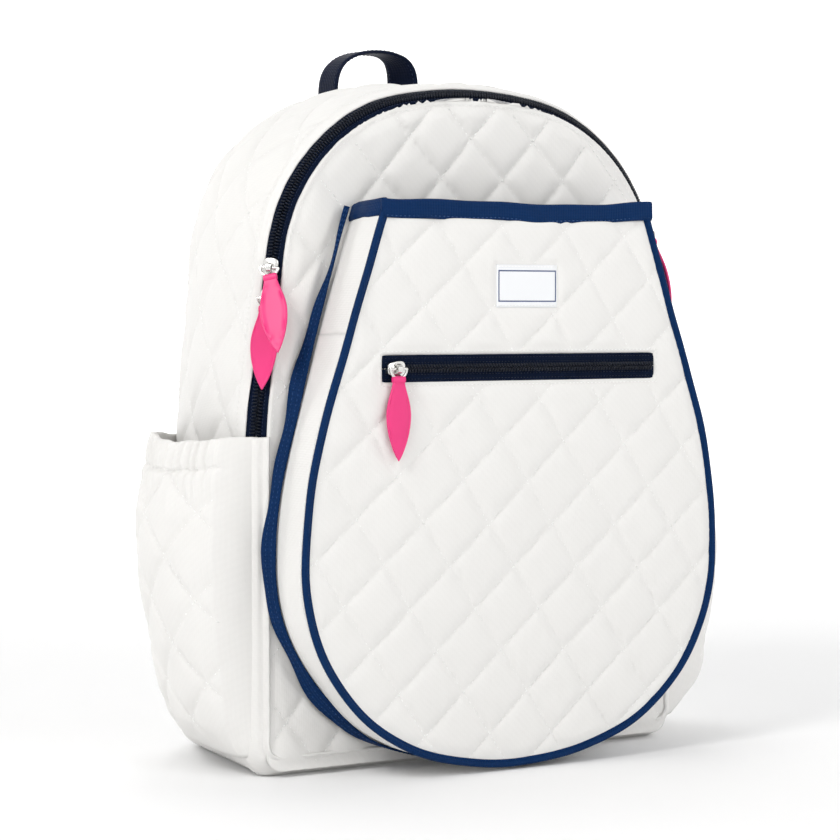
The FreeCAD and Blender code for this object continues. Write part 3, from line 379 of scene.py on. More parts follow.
BOARD = moulded("stiff_board", (0.30, 0.29, 0.27), 0.7, grain=350.0, depth=0.2)


# ------------------------------------------------------------------ outlines, in millimetres
def arc(cx, cz, r, p0, p1, n):
    a0, a1 = math.atan2(p0[1] - cz, p0[0] - cx), math.atan2(p1[1] - cz, p1[0] - cx)
    while a1 - a0 > math.pi:
        a1 -= 2 * math.pi
    while a1 - a0 < -math.pi:
        a1 += 2 * math.pi
    a = np.linspace(a0, a1, n)
    return np.stack([cx + r * np.cos(a), cz + r * np.sin(a)], 1)


def line(p0, p1, n):
    return np.linspace(p0, p1, n)


COUNTS = (90, 30, 160, 60, 110, 150, 60)


def half_outline(which, inset=0.0, low=0.0, corner=22.0):
    """Right half from the bottom middle to the top middle, the same number of points for front and back."""
    if which == "front":
        half, sx, sz, sr, cz, sl = 173.0, 30.6, 324.2, 130.0, 157.0, 0.115
    else:
        half, sx, sz, sr, cz, sl = 154.0, 17.2, 330.9, 125.0, 197.0, 0.09
    wr = 300.0
    norm = math.hypot(1, sl)
    nx, nz = 1 / norm, sl / norm
    reach = nx * sx + nz * sz + sr
    meet = (reach - nx * half) / nz
    w1z = meet - wr * nz / (1 + nx)
    wcx = half - wr
    w2 = (wcx + (wr - inset) * nx, w1z + (wr - inset) * nz)
    far = math.hypot(sx, sz - cz)
    tx, tz = sx / far, (sz - cz) / far
    s2 = (sx + (sr - inset) * nx, sz + (sr - inset) * nz)
    s3 = (sx + (sr - inset) * tx, sz + (sr - inset) * tz)
    top = (0.0, cz + far + sr - inset)
    hi = half - inset
    n = COUNTS
    parts = [
        line((0, low), (hi - corner, low), n[0]),
        arc(hi - corner, low + corner, corner, (hi - corner, low), (hi, low + corner), n[1]),
        line((hi, low + corner), (hi, w1z), n[2]),
        arc(wcx, w1z, wr - inset, (hi, w1z), w2, n[3]),
        line(w2, s2, n[4]),
        arc(sx, sz, sr - inset, s2, s3, n[5]),
        arc(0, cz, far + sr - inset, s3, top, n[6]),
    ]
    return np.concatenate([parts[0]] + [p[1:] for p in parts[1:]])


def whole(half):
    """Closed loop from the bottom middle up the left side, over the top and down the right side."""
    left = half * [-1, 1]
    return np.concatenate([left, half[::-1][1:-1]])


class Loop:
    """Front and back outlines of the body with a shared running length u along the front one."""

    def __init__(self):
        self.f, self.b = whole(half_outline("front")), whole(half_outline("back"))
        f = np.vstack([self.f, self.f[:1]])
        b = np.vstack([self.b, self.b[:1]])
        seg = np.hypot(*np.diff(f, axis=0).T)
        self.u = np.concatenate([[0], np.cumsum(seg)])
        self.length = self.u[-1]
        self.fx, self.bx = f, b
        tan = np.gradient(f, axis=0)
        tan[0] = tan[-1] = (-1, 0)
        tan /= np.linalg.norm(tan, axis=1)[:, None]
        self.n = np.stack([-tan[:, 1], tan[:, 0]], 1)  # outwards, for a loop that runs up the left side
        # soften the normals so that the swelling has no kinks
        k = np.ones(25) / 25
        for c in (0, 1):
            padded = np.concatenate([self.n[-26:-1, c], self.n[:, c], self.n[1:26, c]])
            self.n[:, c] = np.convolve(padded, k, "same")[25:-25]
        self.n /= np.linalg.norm(self.n, axis=1)[:, None]

    def at(self, u, arr):
        u = np.mod(u, self.length)
        return np.stack([np.interp(u, self.u, arr[:, 0]), np.interp(u, self.u, arr[:, 1])], -1)


LOOP = Loop()
if (LOOP.at(np.array([400.0]), LOOP.n)[0, 0]) > 0:
    LOOP.n = -LOOP.n
U_TOP = LOOP.length / 2
GUSSET = Quilt((60.0, -6.0), (33.0, 26.0), (-30.0, 27.0), 2.3, 11, wander=2.5)


def body_swell(u, y):
    """How far the soft gusset stands out beyond the straight frame."""
    p = LOOP.at(u, LOOP.fx)
    z = p[..., 1]
    side = smooth(15, 110, z) * (1 - 0.62 * smooth(385, 455, z))
    k = np.clip((y + 62) / 132.0, 0, 1)
    return 9.5 * side * np.sin(math.pi * k ** 1.15) ** 0.75


def body_point(u, t, detail=1.0):
    """Point of the gusset skin. t runs from the front (-62) to the back; below -62 it goes down the slanted edge."""
    u, t = np.broadcast_arrays(np.asarray(u, float), np.asarray(t, float))
    a = np.maximum(-62.0 - t, 0.0)
    phi = np.clip((t - 63.0) / 12.0, 0, math.pi / 2)
    y = np.where(t < -62, -62 - a / R2, np.where(t > 63, 63 + 12 * np.sin(phi), t))
    inset = a / R2 + 12 * (1 - np.cos(phi)) + np.maximum(t - 63 - 12 * math.pi / 2, 0)
    k = np.clip((y + 62) / 137.0, -0.1, 1)
    base = LOOP.at(u, LOOP.fx) * (1 - k)[..., None] + LOOP.at(u, LOOP.bx) * k[..., None]
    n = LOOP.at(u, LOOP.n)
    z = base[..., 1]
    soft = smooth(4, 60, z)
    edge = smooth(-61.0, -54.0, t) * (1 - smooth(58.0, 66.0, t))
    off = body_swell(u, y) + detail * (GUSSET.pillow(u, t) * edge * soft +
                                       soft * edge * 1.5 * waves(u, t * 1.6, 31, 120.0))
    # puckers where the cloth is gathered to the zip tape
    near = np.exp(-((t + 60.0) / 7.0) ** 2)
    off = off + detail * near * soft * 0.22 * np.sin(u / 3.1 + 2.2 * np.sin(u / 23.0)) * (0.6 + 0.4 * np.sin(u / 41.0))
    off = off + 1.1 * np.exp(-((t + 60.5) / 2.0) ** 2)
    # groove of the bottom seam
    seam = np.exp(-((z - 25.0 - 2.0 * np.sin(t / 20.0)) / 2.2) ** 2) * smooth(-75, -60, t)
    off = off - 1.6 * seam
    p = base - inset[..., None] * n + off[..., None] * n
    # the slanted edge also stands a little proud
    yy = y - np.where(t < -62, (1.9 + np.maximum(off, 0) * 0.4) * smooth(0, 0.9, a), 0)
    out = np.stack([p[..., 0], yy, np.maximum(p[..., 1], 0.25)], -1)
    return out


def surface_normal(fn, s, t, flip=False):
    e = 0.5
    a = fn(s + e, t) - fn(s - e, t)
    b = fn(s, t + e) - fn(s, t - e)
    n = np.cross(a, b)
    n /= np.linalg.norm(n, axis=-1)[..., None] + 1e-12
    return -n if flip else n


def sew(bits, fn, path, flip=False, keep=None, pitch=4.3, half=1.5, r=0.42, lift=0.2, nfn=None):
    """Dashes of thread along a path of pattern points laid over the surface fn."""
    path = np.asarray(path, float)
    seg = np.hypot(*np.diff(path, axis=0).T)
    run = np.concatenate([[0], np.cumsum(seg)])
    if run[-1] < pitch * 2:
        return
    at = np.arange(pitch * 0.5, run[-1], pitch)
    s, t = np.interp(at, run, path[:, 0]), np.interp(at, run, path[:, 1])
    if keep is not None:
        ok = keep(s, t)
        s, t, at = s[ok], t[ok], at[ok]
    if len(s) == 0:
        return
    s2, t2 = np.interp(at + 0.6, run, path[:, 0]), np.interp(at + 0.6, run, path[:, 1])
    s1, t1 = np.interp(at - 0.6, run, path[:, 0]), np.interp(at - 0.6, run, path[:, 1])
    mid = fn(s, t)
    d = fn(s2, t2) - fn(s1, t1)
    d /= np.linalg.norm(d, axis=1)[:, None] + 1e-9
    n = surface_normal(nfn or fn, s, t, flip)
    bits.stitches(mid, d, n, half, r, lift)


# ------------------------------------------------------------------ body: gusset, edge, panels
def u_of_left(z):
    """Running length on the left side where the front outline has height z."""
    half = LOOP.fx[: len(LOOP.fx) // 2 + 1]
    return float(np.interp(z, half[:, 1], LOOP.u[: len(half)]))


U_ZIP = u_of_left(222.3)


def build_gusset():
    # whole band round the bag, evenly spaced along the outline and finer across near the front edge
    nu = int(LOOP.length / 2.5)
    u = np.linspace(0, LOOP.length, nu, endpoint=False)
    t = np.concatenate([[-62.9, -62.6, -62.3, -62.0, -61.2], np.arange(-60, 62, 2.5), np.linspace(62, 86, 14)])
    uu, tt = np.meshgrid(u, t, indexing="ij")
    lap = 1.0 + 2.2 * smooth(228, 300, LOOP.at(u, LOOP.fx)[:, 1]) + 0.25 * np.sin(u / 13.0)
    tt = np.where(tt < -62, -62 + (tt + 62) / 0.9 * lap[:, None], tt)
    v = body_point(uu, tt).reshape(-1, 3)
    f = grid_faces(nu, len(t), closed=True)
    uv = np.stack([uu.ravel(), tt.ravel()], 1)
    ob = new_object("gusset_cloth", v, f, [WHITE, LINING], uv=uv)
    fix_outward(ob, (0, 0, 230))
    solidify(ob, 2.2, inner=1, rim=0)
    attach(ob, BAG)
    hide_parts("top_gusset", "side_gusset_left", "side_gusset_right", "bottom_panel")
    # quilting thread
    bits = Bits()
    for run in GUSSET.lines((u_of_left(28), -58), (LOOP.length - u_of_left(28), 58), 3.0):
        sew(bits, body_point, run, flip=GFLIP,
            keep=lambda s, t: (s > u_of_left(30)) & (s < LOOP.length - u_of_left(30)) & (t > -57) & (t < 60))
    # topstitch beside the zip and round the back seam
    us = np.arange(U_ZIP, LOOP.length - U_ZIP, 3.0)
    sew(bits, body_point, np.stack([us, np.full_like(us, -57.0)], 1), flip=GFLIP, pitch=3.6, half=1.1, r=0.2)
    us = np.arange(u_of_left(26), LOOP.length - u_of_left(26), 3.0)
    sew(bits, body_point, np.stack([us, np.full_like(us, 62.0)], 1), flip=GFLIP)
    st = bits.make("gusset_stitches", THREAD)
    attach(st, BAG)


def fix_outward(ob, centre):
    """Turns the faces so that most of them look away from the centre (millimetres)."""
    me = ob.data
    c = Vector(centre) * MM
    total = 0.0
    for p in me.polygons:
        total += p.area * (p.center - c).dot(p.normal)
    if total < 0:
        me.flip_normals()


_p = body_point(np.array([400.0]), np.array([0.0]))
_n = surface_normal(body_point, np.array([400.0]), np.array([0.0]))
GFLIP = bool(_n[0, 0] > 0)  # the left side's outward normal points to -X


def build_edge_trim():
    """Plain slanted edge below the zip, sewn to the front panel."""
    def fn(u, a):
        p = body_point(u, -62.0 - a)
        base = LOOP.at(u, LOOP.n)
        roll = 1.3 * np.sin(np.clip(a / 18.4, 0, 1) * math.pi) - 1.7 * np.exp(-((a - 14.0) / 1.6) ** 2)
        puck = 0.35 * np.exp(-((a - 14.0) / 5.0) ** 2) * np.sin(u / 2.6 + 2 * np.sin(u / 17.0))
        m = (roll + puck) / R2
        out = p.copy()
        out[..., 0] += base[..., 0] * m
        out[..., 2] = np.maximum(out[..., 2] + base[..., 1] * m, 0.3)
        out[..., 1] -= m
        return out

    lo = u_of_left(222.0)
    u = np.linspace(-lo, lo, int(2 * lo / 2.5))
    a = np.linspace(-0.2, 19.2, 16)
    uu, aa = np.meshgrid(u, a, indexing="ij")
    v = fn(uu, aa).reshape(-1, 3)
    ob = new_object("edge_trim_cloth", v, grid_faces(len(u), len(a)), [WHITE, LINING],
                    uv=np.stack([uu.ravel(), aa.ravel()], 1))
    fix_outward(ob, (0, 20, 200))
    solidify(ob, 1.8, inner=1, rim=0)
    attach(ob, BAG)
    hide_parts("front_edge_trim")


def rows_from_half(half, nz, squeeze=None):
    """Rows of a panel: the points of the right half outline, without those on the middle line unless squeeze is given.
    """
    side = half[half[:, 0] > 1e-6] if squeeze is None else half
    return side


def panel_grid(half, zlo, zhi, step, cols):
    """Points (x, z) of a panel whose outline is the right half curve mirrored, from zlo to zhi."""
    seg = np.hypot(*np.diff(half, axis=0).T)
    run = np.concatenate([[0], np.cumsum(seg)])
    n = int(run[-1] / step)
    s = np.linspace(0, run[-1], n)
    x, z = np.interp(s, run, half[:, 0]), np.interp(s, run, half[:, 1])
    rows = [(xx, zz) for xx, zz in zip(x, z) if zlo <= zz <= zhi]
    # drop rows that would lie on top of each other along flat stretches
    out = [rows[0]]
    for r in rows[1:]:
        if r[1] - out[-1][1] > step * 0.12:
            out.append(r)
        elif r[0] > out[-1][0] and len(out) == 1:
            out[-1] = r
    w = np.array([r[0] for r in out])
    zz = np.array([r[1] for r in out])
    s = np.linspace(-1, 1, cols)
    return s[None, :] * w[:, None], np.repeat(zz[:, None], cols, 1)


FRONT_Q = Quilt((-4.0, 421.0), (24.0, -27.5), (-24.0, -27.5), 2.2, 21, wander=2.2)
FRONT_HALF = half_outline("front", 11.0, 4.2, 11.0)


def edge_distance(x, z, half):
    """Rough distance inwards from a mirrored half outline, in millimetres."""
    pts = np.vstack([half, half[::-1] * [-1, 1]])[::4]
    q = np.stack([np.ravel(x), np.ravel(z)], 1)
    out = np.empty(len(q))
    for i in range(0, len(q), 4000):
        dd = q[i:i + 4000, None] - pts[None]
        out[i:i + 4000] = np.sqrt((dd ** 2).sum(-1).min(1))
    return out.reshape(np.shape(x))


def front_point(x, z):
    x, z = np.broadcast_arrays(np.asarray(x, float), np.asarray(z, float))
    dist = edge_distance(x, z, FRONT_HALF)
    soft = smooth(0.5, 12, dist)
    swell = 2.4 * smooth(0, 60, dist)
    ang = np.arctan2(z - 300.0, x)
    puck = 0.75 * np.exp(-(dist / 11.0) ** 2) * (0.5 + 0.5 * np.sin(ang * 31 + 2.3 * np.sin(ang * 9))) * smooth(300, 380, z) * smooth(1, 4, dist)
    y = -75.0 - soft * FRONT_Q.pillow(x, z) - swell - puck - soft * 0.9 * waves(x, z, 41, 130.0)
    # pulled flat where the cover is sewn on
    wc = np.interp(z, CH0[60:, 1], CH0[60:, 0])
    under = (1 - smooth(1.0, 9.0, np.abs(x) - wc)) * (1 - smooth(366, 380, z))
    y = y * (1 - under) - 75.6 * under
    # the folded edge beside the zip tape
    y = np.minimum(y - 0.9 * np.exp(-((dist - 1.6) / 1.8) ** 2), -75.5)
    return np.stack([x, y, z], -1)


FOLD_LOW, FOLD_HIGH = (0, -0.075, 0.3795), (0, -0.075, 0.3935)


def build_front():
    x, z = panel_grid(FRONT_HALF, 4.0, 500.0, 2.3, 150)
    v = front_point(x, z).reshape(-1, 3)
    ob = new_object("front_cloth", v, grid_faces(*x.shape), [WHITE, LINING], uv=np.stack([x.ravel(), z.ravel()], 1))
    fix_outward(ob, (0, 200, 230))
    solidify(ob, 2.0, inner=1, rim=0)
    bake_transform(ob)
    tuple(FOLD_LOW)
    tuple(FOLD_HIGH)
    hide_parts("front_panel", "front_flap")
    bits = Bits()
    for run in FRONT_Q.lines((-165, 10), (165, 446), 3.0):
        sew(bits, front_point, run, flip=False,
            keep=lambda s, t: (edge_distance(s, t, FRONT_HALF) > 5) & inside_half(s, t, FRONT_HALF, 5) & ((t > 360) | (np.abs(s) > 90)))
    # topstitch beside the zip
    arch = FRONT_HALF[FRONT_HALF[:, 1] > 224]
    edge = np.vstack([arch * [-1, 1], arch[::-1][1:]])
    c = np.array([0, 240.0])
    d = edge - c
    edge = c + d * (1 - 3.2 / np.linalg.norm(d, axis=1))[:, None]
    sew(bits, front_point, edge, pitch=3.6, half=1.1, r=0.2)
    st = bits.make("front_stitches", THREAD)
    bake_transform(st)
    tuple(FOLD_LOW)
    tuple(FOLD_HIGH)


def inside_half(x, z, half, margin):
    w = np.interp(z, half[:, 1][half[:, 0] > 0], half[:, 0][half[:, 0] > 0]) if np.all(np.diff(half[:, 1]) >= 0) else None
    if w is None:
        keep = np.concatenate([[True], np.diff(np.maximum.accumulate(half[:, 1])) > 0])
        w = np.interp(z, half[keep, 1], half[keep, 0])
    return (np.abs(x) < w - margin) & (z > half[:, 1].min() + margin) & (z < half[:, 1].max() - margin)


BACK_Q = Quilt((0.0, 230.0), (24.0, -27.5), (-24.0, -27.5), 2.4, 51, wander=2.0)
BACK_HALF = half_outline("back", 11.0, 9.0, 12.0)


def back_point(x, z):
    x, z = np.broadcast_arrays(np.asarray(x, float), np.asarray(z, float))
    dist = edge_distance(x, z, BACK_HALF)
    soft = smooth(2, 14, dist)
    y = 73.2 + soft * BACK_Q.pillow(x, z) * 0.8 + 1.6 * smooth(0, 25, dist) - 1.4 * np.exp(-(dist / 2.0) ** 2)
    y = y + soft * 0.6 * waves(x, z, 61, 140.0)
    return np.stack([x, np.minimum(y, 78.2), z], -1)


def build_back():
    x, z = panel_grid(BACK_HALF, 8.0, 500.0, 2.6, 120)
    v = back_point(x, z).reshape(-1, 3)
    ob = new_object("back_cloth", v, grid_faces(*x.shape), [WHITE, LINING], uv=np.stack([x.ravel(), z.ravel()], 1))
    fix_outward(ob, (0, -200, 230))
    solidify(ob, 2.0, inner=1, rim=0)
    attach(ob, BAG)
    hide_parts("back_panel")
    bits = Bits()
    for run in BACK_Q.lines((-150, 20), (150, 440), 3.0):
        sew(bits, back_point, run, flip=True,
            keep=lambda s, t: inside_half(s, t, BACK_HALF, 8))
    st = bits.make("back_stitches", THREAD)
    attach(st, BAG)
    # navy binding over the back seam
    loop = whole(half_outline("back", 9.4, 7.6, 13.0))
    path = np.stack([loop[:, 0], np.full(len(loop), 74.4), loop[:, 1]], 1)[::2]
    vv, ff, uv = tube(path, 1.9, 10, closed=True)
    pipe = new_object("back_seam_piping", vv, ff, NAVY_TAPE, uv=uv)
    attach(pipe, BAG)


# ------------------------------------------------------------------ main zip along the slanted edge
MID = 13 * R2 / 2


def bevel(u, across, rise):
    """Point on the slanted edge at running length u."""
    p, n = LOOP.at(u, LOOP.fx), LOOP.at(u, LOOP.n)
    w, y = (across - rise) / R2, -62 - (across + rise) / R2
    return np.stack([p[..., 0] - n[..., 0] * w, y + 0 * p[..., 0], p[..., 1] - n[..., 1] * w], -1)


def strip_object(name, u, section, mat, uvs=1.0):
    """Closed section [(across, rise)] carried along the slanted edge over the running lengths u."""
    sec = np.array(section, float)
    m = len(sec)
    pts = np.stack([bevel(u, np.full_like(u, a), r if np.isscalar(r) else r) for a, r in sec], 1)
    v = pts.reshape(-1, 3)
    f = []
    for i in range(len(u) - 1):
        for j in range(m):
            f.append((i * m + j, i * m + (j + 1) % m, (i + 1) * m + (j + 1) % m, (i + 1) * m + j))
    f = [list(q) for q in f] + [list(range(m))[::-1], [(len(u) - 1) * m + j for j in range(m)]]
    girth = np.concatenate([[0], np.cumsum(np.hypot(*np.diff(sec, axis=0).T))])
    uv = np.stack([np.repeat(u, m), np.tile(girth, len(u))], 1)
    ob = new_object(name, v, f, mat, uv=uv)
    fix_outward(ob, (0, -60, 230))
    return ob


def teeth(place, run, side, pitch, reach, thick, high):
    """Nylon teeth of one half of a zip: rounded bars that reach over the middle, slightly slanted."""
    at = np.arange(run[0], run[1], pitch) + (0 if side < 0 else pitch / 2)
    k = len(at)
    # outline of one tooth: (along, across, rise) of 12 points
    rows = [(-0.22, -0.55, 0.15), (0.22, -0.55, 0.15), (0.30, -0.45, 0.8), (-0.30, -0.45, 0.8),
            (-0.26, 0.35, 1.0), (0.26, 0.35, 1.0), (0.36, 0.95, 0.75), (-0.36, 0.95, 0.75),
            (-0.34, 1.0, 0.2), (0.34, 1.0, 0.2)]
    verts = []
    for al, ac, ri in rows:
        verts.append(place(at + al * thick + 0.35 * ac, side * (reach * (1 - ac) * 0.9 - 0.35) + MID_OF[0], ri * high + 0.35))
    v = np.stack(verts, 1)
    f = [(0, 3, 2, 1), (3, 4, 5, 2), (4, 7, 6, 5), (7, 8, 9, 6), (0, 1, 9, 8), (1, 2, 5, 5), (0, 4, 3, 3)]
    f4 = [(0, 3, 2, 1), (3, 4, 5, 2), (4, 7, 6, 5), (7, 8, 9, 6), (0, 1, 9, 8), (1, 2, 5, 6), (1, 6, 9, 9), (0, 8, 7, 4), (0, 4, 3, 3)]
    return v, f4, k


MID_OF = [0.0]


def add_teeth(bits, place, run, side, mid, pitch=2.2, reach=3.3, thick=1.75, high=1.9):
    """One row of teeth; place(along, across, rise) gives the points."""
    at = np.arange(run[0], run[1], pitch) + (0 if side < 0 else pitch / 2)
    shape = [(-0.24, 1.0, 0.1), (0.24, 1.0, 0.1), (0.26, 1.0, 0.7), (-0.26, 1.0, 0.7),
             (-0.30, 0.45, 1.0), (0.30, 0.45, 1.0), (-0.38, 0.02, 0.8), (0.38, 0.02, 0.8),
             (-0.38, -0.02, 0.15), (0.38, -0.02, 0.15)]
    v = np.stack([place(at + al * thick * 0.78 + 0.5 * (1 - ac), mid + side * ac * reach, ri * high) for al, ac, ri in shape], 1)
    quads = [(0, 3, 2, 1), (3, 4, 5, 2), (4, 6, 7, 5), (6, 8, 9, 7)]
    tris = [(1, 2, 5), (1, 5, 7), (1, 7, 9), (0, 4, 3), (0, 6, 4), (0, 8, 6)]
    base = bits.n
    bits.add(v, quads)
    # the side faces use the same points
    k, m = v.shape[:2]
    off = base + np.arange(k)[:, None, None] * m
    bits.f.extend((off + np.asarray(tris)[None]).reshape(-1, 3).tolist())


def build_main_zip():
    u = np.arange(U_ZIP, LOOP.length - U_ZIP + 1.5, 2.5)
    lo = np.array([u[0]])

    def tape_section(a0, a1):
        return [(a0, -0.45), (a1, -0.45), (a1, 0.25), (a1 - 0.4 * np.sign(a1 - a0), 0.42), (a0, 0.42)]

    body = strip_object("main_tape_body", u, tape_section(1.3, MID - 0.7), NAVY_TAPE)
    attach(body, BAG)
    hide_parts("main_zip_tape_body")
    front = strip_object("main_tape_front", u, tape_section(MID + 0.7, 17.2)[::-1], NAVY_TAPE)
    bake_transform(front)
    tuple(FOLD_LOW)
    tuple(FOLD_HIGH)
    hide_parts("main_zip_tape_front", "main_zip_tape_flap")
    for side, name, nodes in ((-1, "main_teeth_body", ("main_zip_coil_body",)),
                              (1, "main_teeth_front", ("main_zip_coil_front", "main_zip_coil_flap"))):
        bits = Bits()
        add_teeth(bits, lambda al, ac, ri: bevel(al, ac, ri + 0.35), (u[0] + 1, u[-1] - 1), side, MID)
        ob = bits.make(name, COIL)
        if side < 0:
            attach(ob, BAG)
        else:
            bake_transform(ob)
            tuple(FOLD_LOW)
            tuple(FOLD_HIGH)
        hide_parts(*nodes)
        # a line of thread that holds the coil to the tape
        bits = Bits()
        for ac in (4.1,):
            fn = lambda s, t: bevel(s, MID + side * t, np.full_like(s, 0.42))
            path = np.stack([u, np.full_like(u, ac)], 1)
            at = np.arange(u[0] + 1, u[-1] - 1, 2.4)
            mid = bevel(at, np.full_like(at, MID + side * ac), np.full_like(at, 0.42))
            d = bevel(at + 0.5, np.full_like(at, MID + side * ac), np.full_like(at, 0.42)) - mid
            d /= np.linalg.norm(d, axis=1)[:, None]
            n = bevel(at, np.full_like(at, MID + side * ac), np.full_like(at, 1.42)) - mid
            bits.stitches(mid, d, n, 0.95, 0.3, 0.1)
        st = bits.make(name + "_thread", NAVY_THREAD)
        if side < 0:
            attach(st, BAG)
        else:
            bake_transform(st)
            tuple(FOLD_LOW)
            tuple(FOLD_HIGH)


# ------------------------------------------------------------------ racket cover
def cover_half(inset=0.0, top=376.5):
    """Right half of the cover's outline from the bottom middle to the mouth."""
    half, r, zm, low, sr, sl = 164.0, 132.0, 140.0, 3.0, 330.0, 0.3346
    big = ((half - r) ** 2 + (zm - low) ** 2 - r * r) / (2 * (zm - low - r))
    ccx, ccz = half - r, zm
    far = big - r
    tx, tz = ccx / far, (ccz - (low + big)) / far
    norm = math.hypot(1, sl)
    nx, nz = 1 / norm, sl / norm
    p1 = (ccx + (r - inset) * tx, ccz + (r - inset) * tz)
    p2 = (half - inset, zm)
    p3 = (half - sr + (sr - inset) * nx, zm + (sr - inset) * nz)
    p4 = (p3[0] - sl * (top - p3[1]), top)
    parts = [arc(0, low + big, big - inset, (0, low + inset), p1, 60), arc(ccx, ccz, r - inset, p1, p2, 120),
             arc(half - sr, zm, sr - inset, p2, p3, 70), line(p3, p4, 90)]
    return np.concatenate([parts[0]] + [p[1:] for p in parts[1:]])


CH0 = cover_half(0.0)

_seg = np.hypot(*np.diff(CH0, axis=0).T)
_run = np.concatenate([[0], np.cumsum(_seg)])
CU = np.concatenate([-_run[::-1], _run[1:]])  # running length, 0 at the bottom middle, + to the right
CP = np.vstack([CH0[::-1] * [-1, 1], CH0[1:]])
_t = np.gradient(CP, axis=0)
_t /= np.linalg.norm(_t, axis=1)[:, None]
CN = np.stack([_t[:, 1], -_t[:, 0]], 1)  # outwards
if CN[len(CN) // 2, 1] > 0:
    CN = -CN
CEND = float(CU[-1])


def cover_at(u, arr):
    return np.stack([np.interp(u, CU, arr[:, 0]), np.interp(u, CU, arr[:, 1])], -1)


def cover_ring(u, w, y):
    """Point w millimetres inside the cover's outline at depth y."""
    p, n = cover_at(u, CP), cover_at(u, CN)
    x, z = p[..., 0] - n[..., 0] * w, p[..., 1] - n[..., 1] * w
    return np.stack([x, y + 0 * x, z + 0 * x], -1)


# fold line of the cover's front
FA, FB = np.array([-5.0, 6.253]), np.array([-128.42, 290.0])
_d = (FB - FA) / np.linalg.norm(FB - FA)
PERP = np.array([_d[1], -_d[0]])
if PERP[0] < 0:
    PERP = -PERP
COVER_Q = Quilt((-4.51, 135.7), (20.1, -29.25), (-30.06, -26.2), 1.5, 71, wander=1.3, groove=0.55)
CIN_HALF = cover_half(1.0)
SLOT = (-106.0, 110.0, 258.7, 275.9)


def cover_front_y(x, z):
    dist = edge_distance(x, z, CIN_HALF)
    soft = smooth(0.5, 11, dist)
    y = -127.6 - soft * COVER_Q.pillow(x, z) - 1.2 * smooth(0, 70, dist) - 0.5 * soft * waves(x, z, 81, 120.0)
    # the cloth folds in round the pocket's slot
    dx = np.maximum(np.maximum(SLOT[0] - x, x - SLOT[1]), 0)
    dz = np.maximum(np.maximum(SLOT[2] - z, z - SLOT[3]), 0)
    ds = np.hypot(dx, dz)
    flat = 1 - smooth(0.0, 9.0, ds)
    y = y * (1 - flat) + (-128.3) * flat
    y = y + 1.1 * np.exp(-(ds / 0.8) ** 2) - 0.35 * np.exp(-((ds - 2.0) / 1.2) ** 2)
    # under the mouth's binding and the label the cloth is pulled flat
    y = np.where(z > 362, y * (1 - smooth(362, 368, z)) + (-127.6) * smooth(362, 368, z), y)
    lx, lz = np.maximum(np.abs(x - 4.8) - 23, 0), np.maximum(np.abs(z - 320.8) - 13, 0)
    lab = 1 - smooth(0.0, 6.0, np.hypot(lx, lz))
    y = y * (1 - lab) + (-128.9) * lab
    return y


def cover_point(x, z):
    x, z = np.broadcast_arrays(np.asarray(x, float), np.asarray(z, float))
    return np.stack([x, cover_front_y(x, z), z], -1)


